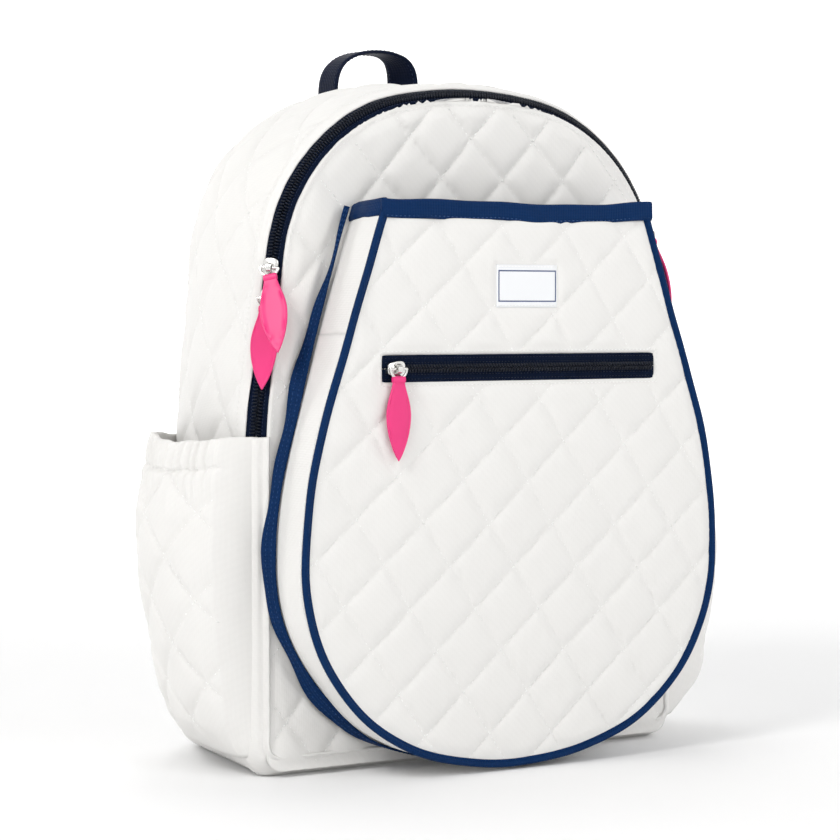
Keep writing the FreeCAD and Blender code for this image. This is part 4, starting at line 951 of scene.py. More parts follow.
def build_cover_front():
    import bmesh
    x, z = panel_grid(CIN_HALF, 3.0, 375.9, 2.2, 150)
    v = np.stack([x.ravel(), 0 * x.ravel(), z.ravel()], 1)
    f = grid_faces(*x.shape)
    bm = bmesh.new()
    vs = [bm.verts.new(p) for p in v]
    for q in f:
        bm.faces.new([vs[i] for i in q])
    x0, x1, z0, z1 = SLOT

    def bis(p, n):
        geom = bm.verts[:] + bm.edges[:] + bm.faces[:]
        bmesh.ops.bisect_plane(bm, geom=geom, plane_co=p, plane_no=n, dist=1e-5)

    for zz in (z0 - 4, z0 - 2.2, z0 - 1.1, z0, z1, z1 + 1.1, z1 + 2.2, z1 + 4):
        bis((0, 0, zz), (0, 0, 1))
    for xx in (x0 - 2.2, x0 - 1.1, x0, x1, x1 + 1.1, x1 + 2.2):
        bis((xx, 0, 0), (1, 0, 0))
    c = 2.6
    cuts = [((x1 - c, 0, z1), (1, 0, 1)), ((x1 - c, 0, z0), (1, 0, -1)), ((x0 + 1.2, 0, z1), (-1, 0, 1)), ((x0 + 1.2, 0, z0), (-1, 0, -1))]
    inside = [q for q in bm.faces if x0 - 4 < q.calc_center_median().x < x1 + 4 and z0 - 4 < q.calc_center_median().z < z1 + 4]
    for p, n in cuts:
        inside = [q for q in bm.faces if x0 - 4 < q.calc_center_median().x < x1 + 4 and z0 - 4 < q.calc_center_median().z < z1 + 4]
        es = {e for q in inside for e in q.edges}
        ws = {w for q in inside for w in q.verts}
        bmesh.ops.bisect_plane(bm, geom=list(ws) + list(es) + inside, plane_co=p, plane_no=n, dist=1e-5)
    dead = []
    for q in bm.faces:
        m = q.calc_center_median()
        if x0 < m.x < x1 and z0 < m.z < z1 and all(
                (m.x - p[0]) * n[0] + (m.z - p[2]) * n[2] < 0 for p, n in cuts):
            dead.append(q)
    bmesh.ops.delete(bm, geom=dead, context="FACES")
    bmesh.ops.remove_doubles(bm, verts=bm.verts, dist=1e-4)
    bm.verts.index_update()
    co = np.array([w.co[:] for w in bm.verts])
    pts = cover_point(co[:, 0], co[:, 2])
    faces = [[w.index for w in q.verts] for q in bm.faces]
    bm.free()
    ob = new_object("cover_front_cloth", pts, faces, [WHITE, LINING], uv=co[:, [0, 2]])
    fix_outward(ob, (0, 200, 200))
    solidify(ob, 1.7, inner=1, rim=0)
    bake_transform(ob)
    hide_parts("cover_front_panel", "cover_front_corner")
    bits = Bits()

    def ok(s, t):
        clear = (s < SLOT[0] - 3) | (s > SLOT[1] + 3) | (t < SLOT[2] - 3) | (t > SLOT[3] + 3)
        lab = (np.abs(s - 4.8) > 25) | (np.abs(t - 320.8) > 15)
        return inside_half(s, t, CIN_HALF, 2.5) & clear & lab & (t < 363)

    for run in COVER_Q.lines((-162, 5), (162, 364), 3.0):
        sew(bits, cover_point, run, keep=ok, half=1.5, r=0.36)
    # topstitch round the slot
    m = 2.4
    r = np.array([(x0 - m, z0 - m), (x1 + m, z0 - m), (x1 + m, z1 + m), (x0 - m, z1 + m), (x0 - m, z0 - m)])
    path = np.concatenate([line(r[i], r[i + 1], 60) for i in range(4)])
    sew(bits, cover_point, path, pitch=3.0, half=1.05, r=0.28)
    st = bits.make("cover_front_stitches", THREAD)
    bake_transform(st)
    return ob


def build_piping():
    u = np.linspace(-CEND + 1, CEND - 1, 520)
    w = 1.0 + 0.25 * np.sin(u / 31.0) + 0.15 * np.sin(u / 9.0)
    path = cover_ring(u, w, -127.7 - 0.2 * np.sin(u / 24.0))
    v, f, uv = tube(path, 2.05, 14)
    uv[:, 0] = np.repeat(u, 14)
    ob = new_object("cover_piping", v, f, BLUE, uv=uv)
    fix_outward(ob, (0, -127, 190))
    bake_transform(ob)
    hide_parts("cover_piping_door", "cover_piping_fixed")
    # flat lip of the piping, sewn between the cloths
    lip0 = cover_ring(u, w + 1.2, -128.3)
    lip1 = cover_ring(u, w + 3.4, -128.2)
    lip2 = cover_ring(u, w + 3.4, -126.6)
    lip3 = cover_ring(u, w + 1.2, -126.6)
    vv = np.stack([lip0, lip1, lip2, lip3], 1).reshape(-1, 3)
    ff = []
    for i in range(len(u) - 1):
        for j in range(4):
            ff.append((i * 4 + j, i * 4 + (j + 1) % 4, (i + 1) * 4 + (j + 1) % 4, (i + 1) * 4 + j))
    lip = new_object("cover_piping_lip", vv, ff, BLUE, uv=np.stack([np.repeat(u, 4), np.tile([0, 2, 3, 5], len(u))], 1))
    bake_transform(lip)


def gusset_skin(side):
    """Surface of the cover's side wall: u along the outline, k from the back edge 0 to the front edge 1."""
    def fn(u, k):
        u, k = np.broadcast_arrays(np.asarray(u, float), np.asarray(k, float))
        y = -76.2 - k * 50.6 if side < 0 else -76.2 - k * 32.2
        z = cover_at(u, CP)[..., 1]
        swell = np.sin(math.pi * np.clip(k, 0, 1)) ** 0.8
        if side < 0:
            amp = 3.2 + 1.6 * np.sin(u / 47.0) + 0.9 * np.sin(u / 19.0)
            amp = amp * smooth(0.0, 40.0, CEND - np.abs(u) + 12)
        else:
            amp = (5.0 + 1.2 * np.sin(u / 40.0)) * (0.25 + 0.75 * (1 - smooth(230, 320, z)))
        low = smooth(6, 40, z)
        off = swell * amp * (0.35 + 0.65 * low) + 0.9 * swell * waves(u, k * 60, 91, 60.0) * low
        if side > 0:
            off = off + k * right_swell(z)
        else:
            pinch = (5.6 + 1.3 * np.sin(u / 29.0)) * smooth(4, 60, z)
            off = off * smooth(0.1, 0.7, k) - pinch * (1 - smooth(0.1, 1.0, k)) * (1 - 0.25 * smooth(0, 0.2, k))
        p = cover_ring(u, 0.6 - off, y)
        p[..., 2] = np.maximum(p[..., 2], 0.3)
        return p
    return fn


def right_swell(z):
    """The zipped side stands out behind the piping below the slider's travel."""
    return 5.5 * (1 - smooth(200, 256, z)) * smooth(4, 70, z)


def build_cover_gussets():
    split = -float(np.interp(290.0, CH0[:, 1][60:], _run[60:]))
    # left wall, in two pieces: fixed below the fold line, and the part above it
    fn = gusset_skin(-1)
    k = np.linspace(0, 1, 26)
    for name, u0, u1 in (("cover_side_low", split, -6.0), ("cover_side_high", -CEND + 0.4, split)):
        u = np.linspace(u0, u1, max(20, int(abs(u1 - u0) / 2.4)))
        uu, kk = np.meshgrid(u, k, indexing="ij")
        ob = new_object(name, fn(uu, kk).reshape(-1, 3), grid_faces(len(u), len(k)), [WHITE, LINING],
                        uv=np.stack([uu.ravel(), kk.ravel() * 50], 1))
        fix_outward(ob, (0, -100, 190))
        solidify(ob, 1.5, inner=1, rim=0)
        if name == "cover_side_low":
            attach(ob, BAG)
            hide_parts("cover_gusset_left")
        else:
            blend_side(ob)
    bits = Bits()
    us = np.linspace(split, -10, 200)

    def fn_mm(u, t):
        return fn(u, np.asarray(t, float) / 50.6)

    probe = surface_normal(fn_mm, np.array([split]), np.array([25.0]))[0]
    out = cover_at(np.array([split]), CN)[0]
    sew(bits, fn_mm, np.stack([us, np.full_like(us, 48.3)], 1), flip=bool(probe[0] * out[0] + probe[2] * out[1] < 0),
        pitch=3.6, half=1.2, r=0.3)
    st = bits.make("cover_side_stitches", THREAD)
    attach(st, BAG)
    # right wall
    fn = gusset_skin(1)
    u = np.linspace(-6.0, CEND - 0.4, 240)
    k = np.linspace(0, 1, 18)
    uu, kk = np.meshgrid(u, k, indexing="ij")
    ob = new_object("cover_side_right", fn(uu, kk).reshape(-1, 3), grid_faces(len(u), len(k)), [WHITE, LINING],
                    uv=np.stack([uu.ravel(), kk.ravel() * 32], 1))
    fix_outward(ob, (0, -100, 190))
    solidify(ob, 1.5, inner=1, rim=0)
    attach(ob, BAG)
    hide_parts("cover_gusset_right")


def blend_side(ob):
    """Bakes the piece's transform into its points."""
    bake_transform(ob)


def ribbon(name, centre, across, normal, half_w, thick, mat, n_across=7, uv_u=None):
    """Flat band with rounded edges. centre (n,3), across and normal are unit vectors (n,3)."""
    prof = []
    for i in range(n_across):
        a = -1 + 2 * i / (n_across - 1)
        prof.append((a, 0.5 if abs(a) < 0.98 else 0.18))
    for i in range(n_across - 1, -1, -1):
        a = -1 + 2 * i / (n_across - 1)
        prof.append((a, -0.5 if abs(a) < 0.98 else -0.18))
    m = len(prof)
    hw = np.broadcast_to(np.asarray(half_w, float), (len(centre),))
    pts = np.stack([centre + across * (a * hw)[:, None] + normal * (b * thick) for a, b in prof], 1)
    v = pts.reshape(-1, 3)
    n = len(centre)
    f = []
    for i in range(n - 1):
        for j in range(m):
            f.append([i * m + j, i * m + (j + 1) % m, (i + 1) * m + (j + 1) % m, (i + 1) * m + j])
    f.append(list(range(m))[::-1])
    f.append([(n - 1) * m + j for j in range(m)])
    if uv_u is None:
        uv_u = np.concatenate([[0], np.cumsum(np.linalg.norm(np.diff(centre, axis=0), axis=1))])
    uvv = np.array([a for a, _ in prof])
    uv = np.stack([np.repeat(uv_u, m), np.tile(uvv, n) * np.repeat(hw, m)], 1)
    ob = new_object(name, v, f, mat, uv=uv)
    recalc(ob)
    return ob


def recalc(ob):
    import bmesh
    bm = bmesh.new()
    bm.from_mesh(ob.data)
    bmesh.ops.recalc_face_normals(bm, faces=bm.faces)
    bm.to_mesh(ob.data)
    bm.free()


def unit(a):
    return a / (np.linalg.norm(a, axis=-1)[..., None] + 1e-12)


def build_back_flange():
    """Blue bound seam where the cover's side wall is sewn to the bag, a little wavy on its free edge."""
    for side, name in ((-1, "cover_flange_left"), (1, "cover_flange_right")):
        u = np.linspace(-CEND + 4, -4, 300) if side < 0 else np.linspace(-4, CEND - 4, 300)
        z = cover_at(u, CP)[:, 1]
        low = smooth(4, 45, z)
        lift = (1.6 + 1.5 * np.sin(u / 27.0 + 0.6) + 0.8 * np.sin(u / 11.0)) * low
        reach = 13.0 + 1.7 * np.sin(u / 33.0 + 1.0) + 0.8 * np.sin(u / 14.0)
        reach = reach * (0.72 + 0.28 * smooth(0, 60, CEND - np.abs(u)))
        if side < 0:
            wav = 1.7 * np.sin(u / 21.0 + 0.7) + 0.9 * np.sin(u / 8.5)
            outer = cover_ring(u, -0.8 - 0.8 * low - wav * low, -78.2 - 0.4 * lift)
            thin = 1 - 0.45 * smooth(230, 350, z)
            inner = cover_ring(u, ((4.6 + 1.3 * np.sin(u / 29.0)) * low) * thin - 1.4, -77.6 - reach * 0.72 * thin)
        else:
            outer = cover_ring(u, -1.9 - 0.8 * low, -76.8)
            inner = cover_ring(u, -(3.5 * low + 1.6 + np.maximum(lift, 0)), -76.8 - reach)
        outer[:, 2] = np.maximum(outer[:, 2], 0.9)
        inner[:, 2] = np.maximum(inner[:, 2], 0.9)
        centre = (outer + inner) / 2
        ac = unit(inner - outer)
        tan = unit(np.gradient(centre, axis=0))
        nor = unit(np.cross(tan, ac))
        out = cover_at(u, CN)
        sign = np.sign((nor[:, 0] * out[:, 0] + nor[:, 2] * out[:, 1]))
        nor = nor * sign[:, None]
        hw = np.linalg.norm(inner - outer, axis=1) / 2
        ob = ribbon(name, centre, ac, nor, hw, 1.3, BLUE, n_across=9, uv_u=u)
        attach(ob, BAG)
        if side < 0:
            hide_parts("cover_back_binding")
        bits = Bits()
        for frac in (-0.35, 0.42):
            at = np.arange(u[0] + 3, u[-1] - 3, 3.4)
            ci = np.stack([np.interp(at, u, (centre + ac * (frac * hw)[:, None] + nor * 0.66)[:, c]) for c in range(3)], 1)
            di = unit(np.stack([np.interp(at, u, tan[:, c]) for c in range(3)], 1))
            ni = unit(np.stack([np.interp(at, u, nor[:, c]) for c in range(3)], 1))
            bits.stitches(ci, di, ni, 1.15, 0.32, 0.05)
        st = bits.make(name + "_thread", BLUE_THREAD)
        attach(st, BAG)


def build_cover_zip():
    """Zip down the cover's right side, behind the piping."""
    zy = -117.3

    def swell(u):
        z = cover_at(u, CP)[..., 1]
        return right_swell(z)

    def place(u, y, out):
        p = cover_ring(u, -(out + swell(u)) + 1.0, y)
        p[..., 2] = np.maximum(p[..., 2], 0.35)
        return p

    def tape(name, y0, y1, u0, u1, body, blended, nodes):
        u = np.linspace(u0, u1, int((u1 - u0) / 2.4))
        # front tape leaves the piping and runs out to the teeth
        cols = np.linspace(0, 1, 6)
        pts = []
        for kx in cols:
            y = y0 + (y1 - y0) * kx
            if blended:
                s = swell(u) * (1 - (1 - kx) ** 2 * 0.75)
                p = cover_ring(u, -(0.1 + s) + 1.0, y)
            else:
                p = cover_ring(u, -(0.1 + swell(u)) + 1.0, y)
            p[:, 2] = np.maximum(p[:, 2], 0.35)
            pts.append(p)
        v = np.stack(pts, 1).reshape(-1, 3)
        uv = np.stack([np.repeat(u, 6), np.tile(cols * abs(y1 - y0), len(u))], 1)
        ob = new_object(name, v, grid_faces(len(u), 6), NAVY_TAPE, uv=uv)
        fix_outward(ob, (0, -117, 190))
        solidify(ob, 0.8)
        if blended:
            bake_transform(ob)
        else:
            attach(ob, BAG)
        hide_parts(*nodes)

    hi = float(np.interp(348.0, CH0[:, 1][60:], _run[60:]))
    tape("cover_tape_back", -107.6, zy + 0.7, -6.0, CEND - 8, BAG, False, ("cover_zip_tape_back",))
    tape("cover_tape_front", -126.4, zy - 0.7, -3.8, hi, BAG, True, ("cover_zip_tape_front",))
    for side, name, node, u1, blended in ((1, "cover_teeth_back", "cover_zip_coil_back", CEND - 14, False),
                                          (-1, "cover_teeth_front", "cover_zip_coil_front", hi, True)):
        bits = Bits()
        add_teeth(bits, lambda al, ac, ri: place(al, ac, ri + 0.1), (-4.0 if side > 0 else -3.0, u1), side, zy, reach=2.9, high=0.45)
        ob = bits.make(name, COIL)
        if blended:
            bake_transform(ob)
        else:
            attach(ob, BAG)
        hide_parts(node)


def build_mouth():
    """Blue binding folded over the cover's mouth."""
    # front edge, slightly sagging
    half = cover_half(0.0)
    xw = float(np.interp(370.0, half[:, 1][60:], half[:, 0][60:]))
    x = np.linspace(-xw - 1.5, xw + 2.5, 150)
    sag = 2.2 * (1 - (x / xw) ** 2) + 0.7 * np.sin(x / 21.0) + 0.35 * np.sin(x / 9.0)
    rip = 0.9 * np.sin(x / 16.0 + 1) + 0.5 * np.sin(x / 6.5)
    centre = np.stack([x, -128.0 - 0.3 * rip, 370.9 - sag + 0.4], 1)
    across = unit(np.stack([0 * x, 0.06 * rip, 1 + 0 * x], 1))
    normal = np.stack([0 * x, -1 + 0 * x, 0 * x], 1)
    ob = ribbon("mouth_binding_cloth", centre, across, normal, 6.3 + 0.25 * np.sin(x / 13.0), 3.6, BLUE, n_across=9, uv_u=x)
    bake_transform(ob)
    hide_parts("mouth_binding_front")
    bits = Bits()
    at = np.arange(x[0] + 3, x[-1] - 3, 3.3)
    zc = np.interp(at, x, centre[:, 2])
    yc = np.interp(at, x, centre[:, 1])
    mid = np.stack([at, yc - 1.83, zc - 4.6], 1)
    bits.stitches(mid, np.tile([1.0, 0, 0], (len(at), 1)), np.tile([0, -1.0, 0], (len(at), 1)), 1.15, 0.3, 0.05)
    st = bits.make("mouth_binding_thread", BLUE_THREAD)
    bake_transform(st)
    # side edges
    for side, name in ((-1, "mouth_side_left"), (1, "mouth_side_right")):
        k = np.linspace(0, 1, 40)
        y0, y1 = (-76.4, -126.8) if side < 0 else (-76.4, -124.5)
        y = y0 + (y1 - y0) * k
        fn = gusset_skin(side)
        uu = (CEND - (6.0 if side < 0 else 3.0)) * side
        kk = k if side < 0 else k * 0.98
        p = fn(np.full_like(k, uu), kk)
        p[:, 1] = y
        out = cover_at(np.full_like(k, uu), CN)
        nor = unit(np.stack([out[:, 0], 0 * k, out[:, 1]], 1))
        p = p + nor * 0.2
        slope = unit(np.stack([np.full_like(k, -side * 0.317), 0 * k, np.full_like(k, 0.948)], 1))
        p = p + slope * (0.6 * np.sin(k * 7))[:, None]
        ob = ribbon(name, p, slope, nor, 6.1 if side < 0 else 2.6, 3.2, BLUE, n_across=7)
        if side < 0:
            blend_side(ob)
            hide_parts("mouth_binding_sides")
        else:
            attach(ob, BAG)


def build_label():
    x = np.linspace(-24.4, 24.4, 50)
    z = np.linspace(-14.2, 14.2, 30)
    xx, zz = np.meshgrid(x, z, indexing="ij")
    y = -129.6 - 0.25 * np.cos(xx / 24.4 * 1.4) - 0.12 * np.sin(xx / 5.0) * (zz / 14.2) ** 2
    edge = np.minimum(14.2 - np.abs(zz), 24.4 - np.abs(xx))
    y = y + 0.55 * np.exp(-(edge / 0.5) ** 2)
    v = np.stack([xx + 4.8, y, zz + 320.8], -1).reshape(-1, 3)
    m, nt, b = shader("label_satin", (0.84, 0.85, 0.87), 0.45, sheen=0.3)
    N, L = nt.nodes, nt.links
    tc = N.new("ShaderNodeTexCoord")
    sep = N.new("ShaderNodeSeparateXYZ")
    L.new(tc.outputs["UV"], sep.inputs[0])

    def math_node(op, a, b_=None, val=None):
        n = N.new("ShaderNodeMath")
        n.operation = op
        L.new(a, n.inputs[0])
        if b_ is not None:
            L.new(b_, n.inputs[1])
        if val is not None:
            n.inputs[1].default_value = val
        return n.outputs[0]

    ax = math_node("SUBTRACT", math_node("ABSOLUTE", sep.outputs[0]), val=0.0226)
    az = math_node("SUBTRACT", math_node("ABSOLUTE", sep.outputs[1]), val=0.0100)
    big = math_node("MAXIMUM", ax, az)
    line_ = math_node("LESS_THAN", math_node("ABSOLUTE", big), val=0.00045)
    mix = N.new("ShaderNodeMix")
    mix.data_type = "RGBA"
    mix.inputs[6].default_value = (0.84, 0.85, 0.87, 1)
    mix.inputs[7].default_value = (0.02, 0.045, 0.16, 1)
    L.new(line_, mix.inputs[0])
    L.new(mix.outputs[2], b.inputs["Base Color"])
    w = N.new("ShaderNodeTexWave")
    w.inputs["Scale"].default_value = 320.0
    w.inputs["Distortion"].default_value = 0.6
    L.new(tc.outputs["UV"], w.inputs["Vector"])
    bu = N.new("ShaderNodeBump")
    bu.inputs["Strength"].default_value = 0.2
    bu.inputs["Distance"].default_value = 0.0002
    L.new(w.outputs["Fac"], bu.inputs["Height"])
    L.new(bu.outputs["Normal"], b.inputs["Normal"])
    ob = new_object("label_cloth", v, grid_faces(50, 30), m, uv=np.stack([xx.ravel(), zz.ravel()], 1))
    fix_outward(ob, (4.8, 200, 320))
    solidify(ob, 0.5)
    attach(ob, "door")
    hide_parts("label_patch")
    bits = Bits()
    for s in (-1, 1):
        at = np.arange(-22.5, 23, 2.6)
        mid = np.stack([at + 4.8, np.full_like(at, -129.95), np.full_like(at, 320.8 + s * 12.8)], 1)
        bits.stitches(mid, np.tile([1.0, 0, 0], (len(at), 1)), np.tile([0, -1.0, 0], (len(at), 1)), 0.95, 0.3, 0.1)
    st = bits.make("label_thread", THREAD)
    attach(st, "door")


def build_pocket_zip():
    x0, x1, z0, z1 = SLOT
    zc = 267.3
    x = np.linspace(x0 - 1.5, x1 + 1.5, 160)
    for s, name in ((1, "pocket_tape_top"), (-1, "pocket_tape_low")):
        z = np.linspace(0.55, 9.8, 8)
        xx, zz = np.meshgrid(x, z, indexing="ij")
        y = -127.75 + 0.5 * np.exp(-((zz - 9.5) / 1.6) ** 2) - 0.25 * np.sin(xx / 17.0) * np.sin(zz / 9 * math.pi)
        ztap = 1 - np.maximum(np.abs(xx - 2) - 101, 0) / 11 * 0.25
        v = np.stack([xx, y, zc + s * zz * ztap], -1).reshape(-1, 3)
        ob = new_object(name, v, grid_faces(*xx.shape), NAVY_TAPE, uv=np.stack([xx.ravel(), zz.ravel()], 1))
        fix_outward(ob, (0, 200, 267))
        solidify(ob, 0.7)
        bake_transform(ob)
        if s > 0:
            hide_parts("pocket_zip_tapes")
        bits = Bits()
        add_teeth(bits, lambda al, ac, ri: np.stack([al, -127.9 - ri + 0 * al, ac + 0 * al], -1), (x0 + 2, x1 - 2), s, zc, reach=2.9)
        for zz_ in (3.9, 6.8):
            at = np.arange(x0 + 2, x1 - 2, 2.5)
            mid = np.stack([at, np.full_like(at, -127.95), np.full_like(at, zc + s * zz_)], 1)
            bits.stitches(mid, np.tile([1.0, 0, 0], (len(at), 1)), np.tile([0, -1.0, 0], (len(at), 1)), 0.95, 0.28, 0.1)
        ob = bits.make("pocket_teeth_top" if s > 0 else "pocket_teeth_low", COIL)
        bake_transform(ob)
        if s > 0:
            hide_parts("pocket_zip_coils")


# ------------------------------------------------------------------ side pockets
POCKET_B = np.array([(14, 9), (22, 18), (35, 27), (52, 34), (86, 43), (120, 49), (150, 52), (172, 52), (196, 48), (210, 44), (222, 41)], float)


def pocket_skin(side):
    q = Quilt((-6.0, 118.0), (25.0, -28.0), (-25.0, -27.0), 2.3, 101 + side, wander=3.0)

    def fn(p, z):
        """p runs from the front seam (0) to the back seam (1)."""
        p, z = np.broadcast_arrays(np.asarray(p, float), np.asarray(z, float))
        y = -70.0 + 128.0 * p
        u = np.interp(z, LOOP.fx[: len(LOOP.fx) // 2, 1], LOOP.u[: len(LOOP.fx) // 2])
        k = np.clip((y + 62) / 137.0, 0, 1)
        base = LOOP.at(u, LOOP.fx) * (1 - k)[..., None] + LOOP.at(u, LOOP.bx) * k[..., None]
        xb = -base[..., 0] - np.maximum(-62.0 - y, 0)
        amp = np.interp(z, POCKET_B[:, 0], POCKET_B[:, 1])
        if side > 0:
            amp = amp + 15.0 * smooth(14, 45, z) * (1 - smooth(120, 190, z))
        form = np.sin(math.pi * np.clip(p, 0, 1) ** (0.92 if side < 0 else 0.66)) ** 0.62
        s = (p - 0.5) * 150.0
        soft = smooth(0.0, 0.10, p) * (1 - smooth(0.92, 1.0, p)) * smooth(20, 32, z)
        hem = smooth(198, 203, z)
        body = soft * (1 - hem)
        off = amp * form + body * (q.pillow(s, z) + 1.6 * waves(s, z, 111 + side, 90.0))
        # gathers of the elastic hem, fading downwards
        gath = (1.6 * np.sin(s / 1.15 + 2.5 * np.sin(s / 9.0)) + 0.5 * np.sin(s / 2.3 + 1.0)) * (0.75 + 0.25 * np.sin(s / 13.0))
        fade = np.exp(-np.maximum(202.0 - z, 0) / 13.0)
        off = off + gath * fade * smooth(0.03, 0.1, p) * (1 - smooth(0.92, 0.99, p))
        off = off - 1.5 * np.exp(-((z - 202.0) / 1.8) ** 2) * smooth(0.02, 0.08, p)
        off = off + 1.2 * hem * np.sin(np.clip((z - 202.0) / 19.0, 0, 1) * math.pi)
        off = np.maximum(off, 0.6)
        zz = z + hem * (1.9 * np.sin(s / 19.0) + 0.5 * np.sin(s / 4.0)) + np.where(z < 40, 0, 0)
        return np.stack([side * (xb + off), y, zz], -1)
    return fn, q


def build_side_pockets():
    for side, tag in ((-1, "left"), (1, "right")):
        fn, q = pocket_skin(side)
        ang = np.linspace(0, 1, 170)
        p = 0.5 - 0.5 * np.cos(ang * math.pi)
        p = 0.45 * p + 0.55 * ang
        z = np.concatenate([np.linspace(14, 200, 78), np.linspace(201, 221.5, 14)])
        pp, zz = np.meshgrid(p, z, indexing="ij")
        v = fn(pp, zz).reshape(-1, 3)
        hemface = []
        ob = new_object("pocket_cloth_" + tag, v, grid_faces(len(p), len(z)), [WHITE, LINING],
                        uv=np.stack([pp.ravel() * 170, zz.ravel()], 1))
        fix_outward(ob, (0, 0, 110))
        solidify(ob, 2.0, inner=0, rim=0)
        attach(ob, BAG)
        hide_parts("side_pocket_" + tag, "pocket_hem_" + tag)
        bits = Bits()

        def fn2(s, z_):
            return fn(s / 150.0 + 0.5, z_)

        flip = side > 0
        n = surface_normal(fn2, np.array([0.0]), np.array([120.0]))
        flip = bool(n[0, 0] * side < 0)
        for run in q.lines((-75, 26), (75, 198), 3.0):
            sew(bits, fn2, run, flip=flip, keep=lambda s, t: (np.abs(s) < 66) & (t > 30) & (t < 197))
        for zz_ in (203.5,):
            s = np.linspace(-68, 68, 60)
            sew(bits, fn2, np.stack([s, np.full_like(s, zz_)], 1), flip=flip, pitch=3.4, half=1.1, r=0.3)
        st = bits.make("pocket_stitches_" + tag, THREAD)
        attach(st, BAG)


# ------------------------------------------------------------------ sliders and pulls
def frame_matrix(at, along, outward):
    a, n = np.array(along, float), np.array(outward, float)
    a /= np.linalg.norm(a)
    n /= np.linalg.norm(n)
    c = np.cross(n, a)
    c /= np.linalg.norm(c)
    m = np.eye(4)
    m[:3, 0], m[:3, 1], m[:3, 2], m[:3, 3] = a, c, n, at
    return m


def turn(axis, deg):
    return np.array(Matrix.Rotation(math.radians(deg), 4, Vector(axis)))


def shift(v):
    m = np.eye(4)
    m[:3, 3] = v
    return m


def moved(pts, m):
    pts = np.asarray(pts, float)
    return pts @ m[:3, :3].T + m[:3, 3]


def plate(outline, z0, z1, bevel_by=0.35):
    """Closed plate from an outline (n, 2) with softened rims."""
    o = np.asarray(outline, float)
    c = o.mean(0)
    n = len(o)
    shrink = 1 - bevel_by / np.linalg.norm(o - c, axis=1)
    inner = c + (o - c) * shrink[:, None]
    rings = [(inner, z0), (o, z0 + bevel_by * 0.8), (o, z1 - bevel_by * 0.8), (inner, z1)]
    v = np.concatenate([np.column_stack([r, np.full(n, z)]) for r, z in rings])
    f = []
    for k in range(3):
        for j in range(n):
            f.append([k * n + j, k * n + (j + 1) % n, (k + 1) * n + (j + 1) % n, (k + 1) * n + j])
    f.append(list(range(n))[::-1])
    f.append([3 * n + j for j in range(n)])
    return v, f


def slider_mesh(crosswise):
    """Zip slider: shaped top and bottom plates joined by a wedge, with a strap-like bail on top."""
    vs, fs, n = [], [], 0

    def add(v, f):
        nonlocal n
        vs.append(np.asarray(v, float))
        fs.extend([[i + n for i in q] for q in f])
        n += len(v)

    a = np.linspace(0, 2 * math.pi, 28, endpoint=False)
    ca, sa = np.cos(a), np.sin(a)
    sx = np.sign(ca) * np.abs(ca) ** 0.62 * 6.5
    wide = 4.7 + 0.5 * np.tanh(sx / 2.5)  # broader at the shoulder
    sy = np.sign(sa) * np.abs(sa) ** 0.55 * wide
    outline = np.stack([sx, sy], 1)
    add(*plate(outline, 2.4, 3.4))
    add(*plate(outline * 0.97, -1.9, -0.9))
    # raised crown on the top plate
    add(*plate(np.stack([sx * 0.62, sy * 0.55], 1), 3.3, 3.9, 0.4))
    add(*plate(np.stack([ca * 1.6 + 1.5, sa * 0.45], 1), -1.0, 2.5, 0.1))
    # bail: a bent strap
    t = np.linspace(-1, 1, 21)
    bx = 3.05 * np.sign(t) * np.abs(t) ** 0.75
    bz = 3.1 + (8.05 - 3.1) * (1 - np.abs(t) ** 3.2)
    path = np.stack([bx, 0 * bx, bz], 1)
    tan = unit(np.gradient(path, axis=0))
    side = np.tile([0, 1.0, 0], (21, 1))
    nor = np.cross(tan, side)
    w = 1.55 + 0.35 * np.abs(t) ** 2
    th = 0.42
    ring = np.stack([path + side * w[:, None] + nor * th, path - side * w[:, None] + nor * th,
                     path - side * w[:, None] - nor * th, path + side * w[:, None] - nor * th], 1)
    f = []
    for i in range(20):
        for j in range(4):
            f.append([i * 4 + j, i * 4 + (j + 1) % 4, (i + 1) * 4 + (j + 1) % 4, (i + 1) * 4 + j])
    f += [[3, 2, 1, 0], [80, 81, 82, 83]]
    bail = ring.reshape(-1, 3)
    if crosswise:
        bail = np.stack([-bail[:, 1], bail[:, 0], bail[:, 2]], 1)
    add(bail, f)
    return np.concatenate(vs), fs


